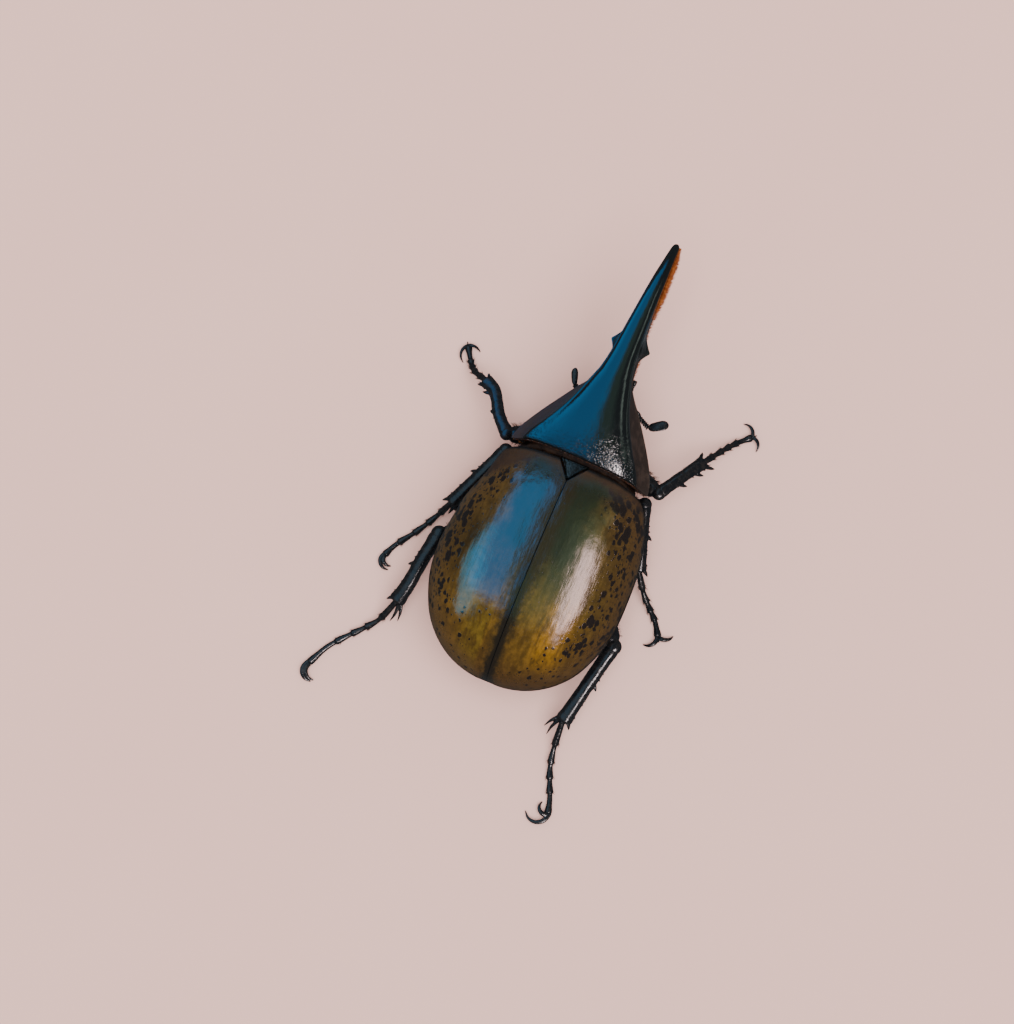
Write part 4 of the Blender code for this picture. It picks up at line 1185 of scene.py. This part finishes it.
def breast_fringe(material):
    """Golden hairs along the front and hind edges of the prothorax underneath, on it and round the mouth."""
    coat = Coat(11)
    draw = coat.draw
    for _ in range(900):
        aside = draw.gauss(0, 0.085)
        if abs(aside) > 0.2:
            continue
        turn = 0.5 + aside
        y = draw.choice((12.55, 12.55, 1.1)) + draw.uniform(-0.25, 0.05)
        ahead = 1 if y > 5 else -1
        way = Vector((draw.uniform(-0.25, 0.25), ahead, draw.uniform(-0.35, 0.15)))
        length = draw.uniform(0.8, 1.7) if ahead > 0 else draw.uniform(0.3, 0.6)
        length *= 1 - 2.5 * abs(aside)
        root = shield_place(turn, y, 0.97) - way * 0.1
        coat.add(root, way, length, 0.05, (0, 0, -0.2), (turn, (y + 1) / 50))
    for _ in range(1500):
        turn = 0.5 + min(max(draw.gauss(0, 0.08), -0.15), 0.15)
        y = draw.uniform(1.3, 12.2)
        root, _, out = shield_under(turn, y)
        way = out * 0.5 + Vector((draw.uniform(-0.3, 0.3), 1, 0))
        coat.add(root - out * 0.1, way, draw.uniform(0.35, 0.85), 0.04, (0, 0, -0.1), (turn, (y + 1) / 50))
    for _ in range(420):
        x = draw.uniform(-2.3, 2.3)
        root = Vector((x, 19.0, 11.1 + draw.uniform(-0.5, 0.5)))
        way = Vector((draw.uniform(-0.2, 0.2) + 0.1 * x, 1, draw.uniform(-0.5, 0.2)))
        coat.add(root, way, draw.uniform(0.7, 1.5), 0.045, (0, 0, -0.15), (0.5 + x / 10, 0.96))
    coat.grow("breast_fringe", material, FRONT)


def shield_fringe(material):
    """Short dark hairs along the hind edge of the shield."""
    coat = Coat(19)
    draw = coat.draw
    for _ in range(1300):
        turn = draw.uniform(-0.27, 0.27)
        way = Vector((draw.uniform(-0.35, 0.35), -1, draw.uniform(-0.6, -0.05)))
        root = shield_place(turn % 1, SHIELD_BASE_Y + 0.12, 0.95) - way * 0.2
        coat.add(root, way, draw.uniform(0.3, 0.8), 0.045, (0, 0, -0.25), (turn + 0.5, 0.5))
    coat.grow("shield_fringe", material, FRONT)


def neck(material):
    """The dark skin that joins the shield to the hind body."""
    stance = BODY.inverted() @ FRONT
    rows = 12

    def form(turn, row):
        share = row / (rows - 1)
        on_body = round_through(body_outline(-1.0, 0.4), turn)
        place = (stance @ shield_place(turn, 2.2, 0.86)).lerp(on_body, share)
        pinch = 1 - 0.05 * math.sin(math.pi * share) * (1 + 0.5 * math.sin(9 * share))
        return Vector((place.x * pinch, place.y, 13 + (place.z - 13) * pinch))

    piece("neck_skin", sleeve(96, rows, form), material, ())


def belly_down(material):
    """Golden hairs on the sides of the breast plates, between and around the hips."""
    coat = Coat(13)
    draw = coat.draw
    for _ in range(4200):
        y = -0.8 - 23.5 * draw.random() ** 1.25
        if WAIST_Y - 0.9 < y < WAIST_Y + 0.6:
            continue
        turn = draw.choice((draw.uniform(0.32, 0.44), draw.uniform(0.56, 0.68)))
        if draw.random() < 0.25:
            turn = draw.uniform(0.42, 0.58)
        outline = body_outline(y)
        root = round_through(outline, turn)
        near = round_through(outline, turn + 0.005) - root
        out = Vector((near.z, 0, -near.x)).normalized()
        if out.dot(root - Vector((0, y, 13))) < 0:
            out = -out
        way = out * 0.7 + Vector((draw.uniform(-0.3, 0.3), -0.8, draw.uniform(-0.2, 0.2)))
        coat.add(root - out * 0.1, way, draw.uniform(0.8, 1.8), 0.05, (0, -0.2, -0.25), (turn, -y / 44))
    coat.grow("belly_down", material)


def leg_bristles(material):
    """Rows of stiff hairs on the thighs and shins, and under the joints of the feet."""
    coat = Coat(17, columns=4, lines=5)
    draw = coat.draw
    for number, leg in enumerate(LEGS):
        thigh, shin, sole = leg.thigh(), leg.shin(), leg.sole()
        cell = 3 * number
        inner, beside = (0.75, -0.12) if leg.outside > 0 else (0.25, 0.12)
        rows = [(thigh, cell, inner, 0.06, 90, 0.15, 0.95, 1.1),
                (thigh, cell, 1 - inner, 0.05, 60, 0.2, 0.9, 0.9),
                (shin, cell + 1, inner + beside, 0.05, 60, 0.12, 0.97, 0.75),
                (shin, cell + 1, 0.5, 0.09, 90, 0.1, 0.95, 0.9)]
        for limb, patch, middle, spread, count, start, end, long in rows:
            for _ in range(count):
                fraction = draw.uniform(start, end)
                turn = (middle + draw.gauss(0, spread * 0.6)) % 1
                root, out = limb.surface(fraction, turn)
                ahead = limb.axes(fraction)[1]
                way = out + ahead * draw.uniform(0.5, 1.1)
                length = long * draw.uniform(0.6, 1.15)
                coat.add(root - out * 0.15, way, length, 0.04, ahead * 0.15, (turn, fraction), patch)
        for _ in range(150):
            fraction = FOOT_JOINTS[draw.randrange(4) + 1] - draw.uniform(0.015, 0.05)
            turn = (0.5 + draw.gauss(0, 0.16)) % 1
            root, out = sole.surface(fraction, turn, sole_radius(fraction))
            if root.z < 0.25:
                continue
            way = out * 0.6 + sole.axes(fraction)[1]
            way.z = max(way.z, -0.25)
            root -= out * 0.1
            coat.add(root, way, draw.uniform(0.4, 0.85), 0.035, (0, 0, 0), (turn, fraction), cell + 2)
    coat.grow("leg_bristles", material)


WING_SHADES = ((0.00, (0.022, 0.014, 0.010)), (0.08, (0.036, 0.023, 0.011)), (0.20, (0.068, 0.043, 0.011)),
               (0.40, (0.066, 0.043, 0.010)), (0.58, (0.076, 0.049, 0.009)), (0.72, (0.104, 0.061, 0.008)),
               (0.88, (0.092, 0.052, 0.008)), (1.00, (0.055, 0.030, 0.007)))


def wing_paint():
    """Glossy olive to gold, darker to the front and at the suture, with black spots, painted shade on the
    sides and over part of the left cover, and a painted dark green reflection by the suture ahead.
    """
    paint = Paint("Wing cover olive gold", {"IOR": 1.58})
    seam, rim, base = paint.mark("from_suture"), paint.mark("from_rim"), paint.mark("from_base")
    on_left = paint.node("SeparateXYZ", {}, {0: paint.where}).between(-1.0, 1.0)
    cloud = paint.noise(0.16, 3.0, 0.55)
    mottle = paint.noise(0.9, 4.0, 0.6)
    strokes = paint.noise(0.42, 4.0, 0.62, paint.place(2400.0, 360.0, 1500.0))
    drift, speckle, streaks = cloud - 0.5, mottle - 0.5, strokes - 0.5

    # The ground: olive from base to tip, a gold patch, painted shade on the sides and over part of the left
    # cover, a painted dark green reflection by the suture ahead, and a darker suture and front
    along = base + drift * 12.0 + speckle * 4.0
    paint.colour = paint.node("ValToRGB", {"stops": WING_SHADES}, {0: along / 44.0})
    inward = seam + on_left * 4.2 + streaks * 4.0
    behind = base - on_left * 3.5 + streaks * 9.0
    gold = inward.between(5.0, 8.2) * inward.fading(10.0, 14.0)
    gold = gold * behind.between(25.0, 30.0) * behind.fading(36.0, 41.0)
    gold_colour = paint.mix(on_left, (0.200, 0.104, 0.007), (0.105, 0.070, 0.008))
    paint.lay(gold * strokes.between(0.32, 0.56, 0.35, 1.0), gold_colour)
    grain = mottle.between(0.30, 0.72, 0.72, 1.12) * strokes.between(0.34, 0.66, 0.66, 1.18)
    # Painted shade: the left cover up to 45 % darker from 14 to 31 mm behind its base
    grain = grain * (1.0 - on_left * base.between(14.0, 20.0) * base.fading(26.0, 31.0, 0.45))
    paint.lay(1.0, paint.node("CombineColor", {}, {0: grain, 1: grain, 2: grain}), "MULTIPLY")
    # Painted shade on the sides, where the cover turns down, a little lighter on the left
    side_shade = rim.fading(5.0, 14.0, 0.75) + drift * 0.5
    paint.lay(side_shade.largest(0.0), paint.mix(on_left, (0.058, 0.031, 0.007), (0.078, 0.048, 0.012)))
    # Painted reflection: a dark green patch by the suture towards the front, with uneven edges
    uneven_edge = paint.noise(0.30, 2.0, where=paint.warped(paint.where, 0.22, 1.6))
    dark = (seam + (uneven_edge - 0.5) * 5.0).fading(6.0, 11.5)
    paint.lay(dark * (base + drift * 10.0).fading(17.0, 29.0) * 0.92, (0.011, 0.017, 0.009))
    streak = (seam + speckle * 3.0 - base.between(14.0, 40.0, 2.6, 1.5)).fading(-1.3, 1.0, 0.9)
    paint.lay(streak, (0.020, 0.015, 0.006))

    # Black spots in three sizes, thickest along the sides, then the dark edges
    stretched = paint.place(1000.0, 740.0, 1000.0)
    at_side = rim.fading(9.5, 16.5, 0.86) * base.between(28.0, 40.0, 1.0, 0.42) * (1.0 - on_left * 0.08)
    at_end = base.between(26.0, 33.0, 0.0, 0.24)
    at_front = base.fading(4.0, 13.0, 0.30)
    density = at_side.largest(at_end) + 0.06 + drift * 0.5
    large = paint.spots(paint.warped(stretched, 0.9, 0.5), 0.55, density, 0.66)
    density = at_side + at_front + at_end + 0.12
    small = paint.spots(paint.warped(stretched, 1.6, 0.3), 1.0, density, 0.60)
    specks = paint.spots(paint.warped(stretched, 2.5, 0.15), 2.1, at_side * 0.7 + 0.24, 0.58)
    spotted = large.largest(small).largest(specks * 0.85)
    paint.lay(spotted, (0.009, 0.006, 0.005))
    line = (seam + streaks * 2.2).fading(0.4, 1.4, 0.9) * base.between(17.0, 26.0)
    paint.lay(line, (0.010, 0.008, 0.005))
    border = (base - (seam - 5.0).largest(0.0) * on_left * 0.5 + drift * 3.0).fading(0.6, 3.0)
    paint.lay(border * 0.9, (0.040, 0.023, 0.012))
    edge = (rim + speckle * 0.8).fading(0.7, 1.5).largest(seam.fading(0.05, 0.22))
    paint.lay(edge.largest((base + speckle * 0.8).fading(0.3, 1.1)), (0.007, 0.006, 0.005))

    # Gloss, duller at the rim and the front
    streaky = paint.noise(1.0, 3.0, 0.6, paint.place(4200.0, 420.0, 2600.0))
    frosted = paint.noise(3.0, 3.0, 0.6)
    at_rim = rim.fading(3.0, 12.0).largest((base + drift * 5.0).fading(2.0, 6.0, 1.3))
    rough = streaky.between(0.3, 0.75, 0.10, 0.19) + (frosted - 0.5) * 0.08
    rough = (rough + at_rim * 0.22 + spotted * 0.06).smallest(0.6)
    paint.set({"Base Color": paint.colour, "Roughness": rough})
    waves = paint.noise(0.50)
    normal = paint.relief(
        (waves, 0.050), (strokes, 0.045), (spotted, 0.012), (streaky, 0.008), (frosted, 0.006)
    )
    paint.matt((border * 0.85).largest(rim.fading(1.0, 8.0, 0.5)), normal)
    return paint.material


def carapace_paint():
    """Polished black, with dull flanks on the shield carrying a painted brown-grey reflection, and pits
    towards its hind edge.
    """
    paint = Paint("Carapace black", {"IOR": 1.62})
    flank, ahead, under = paint.mark("flank"), paint.mark("ahead"), paint.mark("under")
    across = paint.mark("across")
    grain = paint.noise(1.3, 4.0, 0.6)
    streaky = paint.noise(1.0, 3.0, 0.6, paint.place(2600.0, 500.0, 2600.0))
    strokes = paint.noise(0.7, 4.0, 0.6, paint.place(1300.0, 240.0, 1300.0))

    paint.colour = (0.0032, 0.0046, 0.0050)
    # The flanks are dull; their brown-grey, greyer on the left and mottled, is a painted reflection
    dull = (flank + (grain - 0.5) * 1.1 * flank).between(0.2, 0.85)
    paint.lay(dull, paint.mix(across.between(-8.0, -2.0), (0.038, 0.028, 0.028), (0.024, 0.017, 0.014)))
    paint.lay(dull * paint.noise(0.5).between(0.42, 0.68), (0.042, 0.030, 0.024))
    paint.lay(under, (0.018, 0.011, 0.007))
    near_rear = (ahead + (grain - 0.5) * 3.0).fading(2.0, 9.5)
    corner = near_rear * across.between(3.0, 9.0)
    rough = streaky.between(0.3, 0.75, 0.08, 0.16) + strokes.between(0.45, 0.75, 0.0, 0.10)
    rough = rough + near_rear * 0.05 - corner * 0.04 + dull.largest(under * 0.8) * 0.40
    paint.set({"Base Color": paint.colour, "Roughness": rough.smallest(0.6)})
    pits = paint.cells(1.9).between(0.10, 0.42) * near_rear.largest(under * 0.7)
    fine = paint.cells(2.9).between(0.06, 0.45) * (near_rear * 0.35 + corner * 0.9 + 0.04)
    waves = paint.noise(0.35, 2.0, 0.4)
    normal = paint.relief((waves, 0.06), (strokes, 0.030), (streaky, 0.006), (pits, 0.030), (fine, 0.06))
    paint.matt(dull * 0.93, normal)
    return paint.material


def pitted_paint(name, clouds, pits, dark, light, lit_from, rough, ior=1.55):
    """Black or brown with cloudy grain and fine pits, each given as (scale, depth in millimetres)."""
    paint = Paint(name, {"IOR": ior})
    grain = paint.noise(clouds[0], 4.0, 0.6)
    colour = paint.mix(grain.between(lit_from, lit_from + 0.35), dark, light)
    paint.set({"Base Color": colour, "Roughness": grain.between(0.3, 0.7, *rough)})
    paint.relief((paint.cells(pits[0]).between(0.08, 0.4), pits[1]), (grain, clouds[1]))
    return paint.material


def eye_paint():
    """Dark amber with a fine honeycomb."""
    paint = Paint("Eye", {"Coat Weight": 1.0, "Coat Roughness": 0.05, "IOR": 1.5, "Roughness": 0.25})
    facet = paint.cells(9.0, 0.25)
    amber = paint.mix(facet.between(0.25, 0.55), (0.030, 0.014, 0.006), (0.008, 0.005, 0.004))
    paint.set({"Base Color": amber})
    paint.relief((facet.fading(0.1, 0.5), 0.025))
    return paint.material


def hair_paint(name, root, tip):
    """Stiff hair between two shades."""
    paint = Paint(name, {"Roughness": 0.42, "IOR": 1.5})
    paint.set({"Base Color": paint.mix(paint.noise(1.7, 2.0).between(0.35, 0.65), root, tip)})
    return paint.material


def beetle():
    """All the pieces."""
    carapace, wing, eye_dark = carapace_paint(), wing_paint(), eye_paint()
    head_black = pitted_paint("Head black", (1.6, 0.06), (4.2, 0.016), (0.005, 0.005, 0.005),
                              (0.016, 0.012, 0.010), 0.35, (0.13, 0.30), 1.58)
    leg_black = pitted_paint("Leg black", (1.1, 0.05), (3.6, 0.010), (0.005, 0.006, 0.008),
                             (0.014, 0.012, 0.011), 0.4, (0.16, 0.36))
    belly = pitted_paint("Belly brown black", (0.7, 0.08), (1.8, 0.06), (0.010, 0.006, 0.005),
                         (0.028, 0.015, 0.009), 0.35, (0.28, 0.45))
    orange = hair_paint("Orange pile", (0.27, 0.065, 0.014), (0.42, 0.130, 0.030))
    golden = hair_paint("Golden hair", (0.24, 0.090, 0.020), (0.44, 0.200, 0.055))
    bristle = hair_paint("Dark bristle", (0.020, 0.009, 0.005), (0.085, 0.030, 0.010))
    for name, side in SIDES.items():
        wing_cover(name, side, wing)
        eye(name, side, eye_dark)
        mandible(name, side, head_black)
        palp(name, side, leg_black)
    antenna("right", [(4.6, 15.9, 10.6), (6.8, 14.6, 9.8), (8.9, 13.6, 9.6)], (12.2, 15.8, 9.8), 0.92,
            leg_black)
    antenna("left", [(-4.6, 15.9, 10.6), (-6.4, 15.2, 9.8), (-7.8, 15.7, 9.6)], (-9.1, 18.7, 9.8), 0.56,
            leg_black)
    scutellum(carapace)
    hind_thorax(belly)
    abdomen(belly)
    shield(carapace)
    head(head_black)
    for leg in LEGS:
        coxa(leg, belly)
        for part in (femur, tibia, tarsus, claws):
            part(leg, leg_black)
    horn_brush(orange)
    breast_fringe(golden)
    shield_fringe(bristle)
    neck(belly)
    belly_down(golden)
    leg_bristles(bristle)


def floor():
    """A plain pale floor that the gloss doesn't mirror, so that the flanks stay dark."""
    paint = Paint("Pale floor", {"Roughness": 0.62, "Specular IOR Level": 0.25})
    paint.set({"Base Color": paint.mix(paint.noise(0.02, 2.0), (0.93, 0.60, 0.54), (0.96, 0.64, 0.575))})
    bm = bmesh.new()
    bmesh.ops.create_grid(bm, x_segments=2, y_segments=2, size=6)
    mesh = mesh_of("floor", bm)
    mesh.materials.append(paint.material)
    made = placed("floor", mesh)
    made.location.z = -0.00005
    made.visible_glossy = False


def softbox(name, low, high, height, radiance, colour, lit, fade, layers,
            shape="RECTANGLE", turn=0, leave=()):
    """A soft light overhead, from corner to corner in the beetle's frame, for the gloss of the pieces lit.

    Fade is the width of its soft edge, built up in layers, and turn swings it to the left in degrees.
    Pieces whose names end in leave stay out of it.
    """
    catching = bpy.data.collections.new(name)
    for obj in bpy.context.scene.objects:
        if obj.name.startswith(lit) and not obj.name.endswith(leave):
            catching.objects.link(obj)
    width, depth = high[0] - low[0], high[1] - low[1]
    for layer in range(layers):
        inset = fade * (2 * layer / (layers - 1) - 1)
        light = bpy.data.lights.new(name, "AREA")
        light.shape = shape
        light.size, light.size_y = (width - inset) * MM, (depth - inset) * MM
        area = light.size * light.size_y * (math.pi / 4 if shape == "ELLIPSE" else 1)
        light.energy = radiance * math.pi * area / layers
        light.color = colour
        made = placed(name, light)
        made.location = BODY @ Vector((low[0] + width / 2, low[1] + depth / 2, height + 0.5 * layer))
        made.rotation_euler.z = math.pi + math.radians(turn)
        made.visible_camera = made.visible_diffuse = False
        made.light_linking.receiver_collection = catching


def daylight():
    """Broad even light for the matt colours, from above and a little behind the beetle's right."""
    light = bpy.data.lights.new("daylight", "SUN")
    light.energy = 3.2
    light.angle = math.radians(60)
    light.color = (1.0, 0.96, 0.93)
    made = placed("daylight", light)
    made.rotation_euler = (BODY.to_3x3() @ Vector((-0.25, 0.15, -1.0))).to_track_quat("-Z", "Y").to_euler()
    made.visible_glossy = False


def surround():
    """A pale studio, dim to the gloss so that it stays black, and of the floor's colour to the camera."""
    world = bpy.data.worlds.new("Studio")
    bpy.context.scene.world = world
    nodes = Nodes(world, "World Output")
    pale, dim, seen = (
        nodes.node("Background", {}, {"Color": colour, "Strength": strength})
        for colour, strength in (
            ((0.96, 0.80, 0.76), 0.72), ((0.80, 0.90, 1.0), 0.13), ((0.96, 0.60, 0.53), 1.38)
        )
    )
    for ray, other in (("Is Glossy Ray", dim), ("Is Camera Ray", seen)):
        which = nodes.node("LightPath", output=ray)
        pale = nodes.node("MixShader", {}, {0: which, 1: pale, 2: other})
    nodes.feed(nodes.surface, pale)


def lights():
    """Even light for the matt colours, and the photograph's blue sky, pale and green in the gloss."""
    surround()
    daylight()
    wings = ("wing_cover",)
    front = ("shield", "head", "eye", "jaw")
    fore_left = ("thigh_fore_left", "shin_fore_left")
    legs = ("scutellum", "feeler", "mouth", "hip", "thigh", "shin", "foot", "claws")
    round_card = "ELLIPSE"
    softbox("sky over the wings", (-132, -75), (-24, 110), 140, 3.7, (0.01, 0.40, 1.0), wings, 14, 4)
    softbox("low sky over the wings", (-205, -146), (-84, 6), 138, 2.9, (0.05, 0.66, 1.0), wings, 26, 4,
            round_card)
    softbox("sky over the shield", (-620, -150), (-2, 420), 150, 2.2, (0.0, 0.40, 1.0), front, 22, 4)
    softbox("bright sky over the shield", (-620, -190), (-190, 420), 152, 1.3, (0.0, 0.46, 1.0), front,
            120, 4)
    softbox("sky over the legs", (-200, -160), (-10, 200), 150, 1.1, (0.32, 0.62, 0.86), legs, 20, 3,
            leave=fore_left)
    softbox("sky over a fore leg", (-230, -190), (-30, 160), 150, 2.0, (0.05, 0.42, 1.0), fore_left, 20, 3)
    softbox("pale card", (66, -100), (128, 34), 140, 16.0, (1.0, 0.66, 0.65), wings, 20, 4, round_card, 13)
    softbox("pale card halo", (34, -80), (126, 60), 142, 1.2, (0.8, 1.0, 0.6), wings, 40, 4, round_card)
    softbox("green card", (-4, -86), (38, -26), 144, 0.8, (0.5, 1.0, 0.42), wings, 26, 3, round_card)
    softbox("yellow green card", (48, 20), (112, 112), 144, 0.38, (0.75, 1.0, 0.25), wings, 36, 3, round_card)
    softbox("green glow", (-26, -60), (60, 90), 144, 0.14, (0.35, 1.0, 0.6), wings, 30, 3)
    softbox("green glow ahead", (-10, -90), (70, 200), 146, 0.28, (0.5, 1.0, 0.7), front, 30, 3)
    softbox("pale strip ahead", (150, -20), (205, 260), 146, 1.8, (0.8, 1.0, 0.85), front, 20, 3)
    softbox("pale card low", (70, -165), (148, -92), 140, 40.0, (1.0, 0.86, 0.86), front + legs, 16, 3,
            round_card)


def camera():
    """The photograph's view: almost straight down, with the horns to the upper right."""
    lean, roll = math.sin(math.radians(6)), math.radians(22.9)
    back = Vector((lean, -lean, math.sqrt(1 - 2 * lean**2)))
    forward = Vector((0, 1, 0))
    forward = (forward - back * forward.dot(back)).normalized()
    up = forward * math.cos(roll) - forward.cross(back) * math.sin(roll)
    turn = Matrix((up.cross(back), up, back)).transposed().to_4x4()
    data = bpy.data.cameras.new("camera")
    data.sensor_width = 36.0
    data.lens = 68.8
    data.clip_start = 0.01
    made = placed("camera", data)
    place = Matrix.Translation((30.35, -52.05, 385.51))
    made.matrix_world = BODY @ place @ turn @ Matrix.Scale(1 / MM, 4)
    bpy.context.scene.camera = made


beetle()
floor()
lights()
camera()
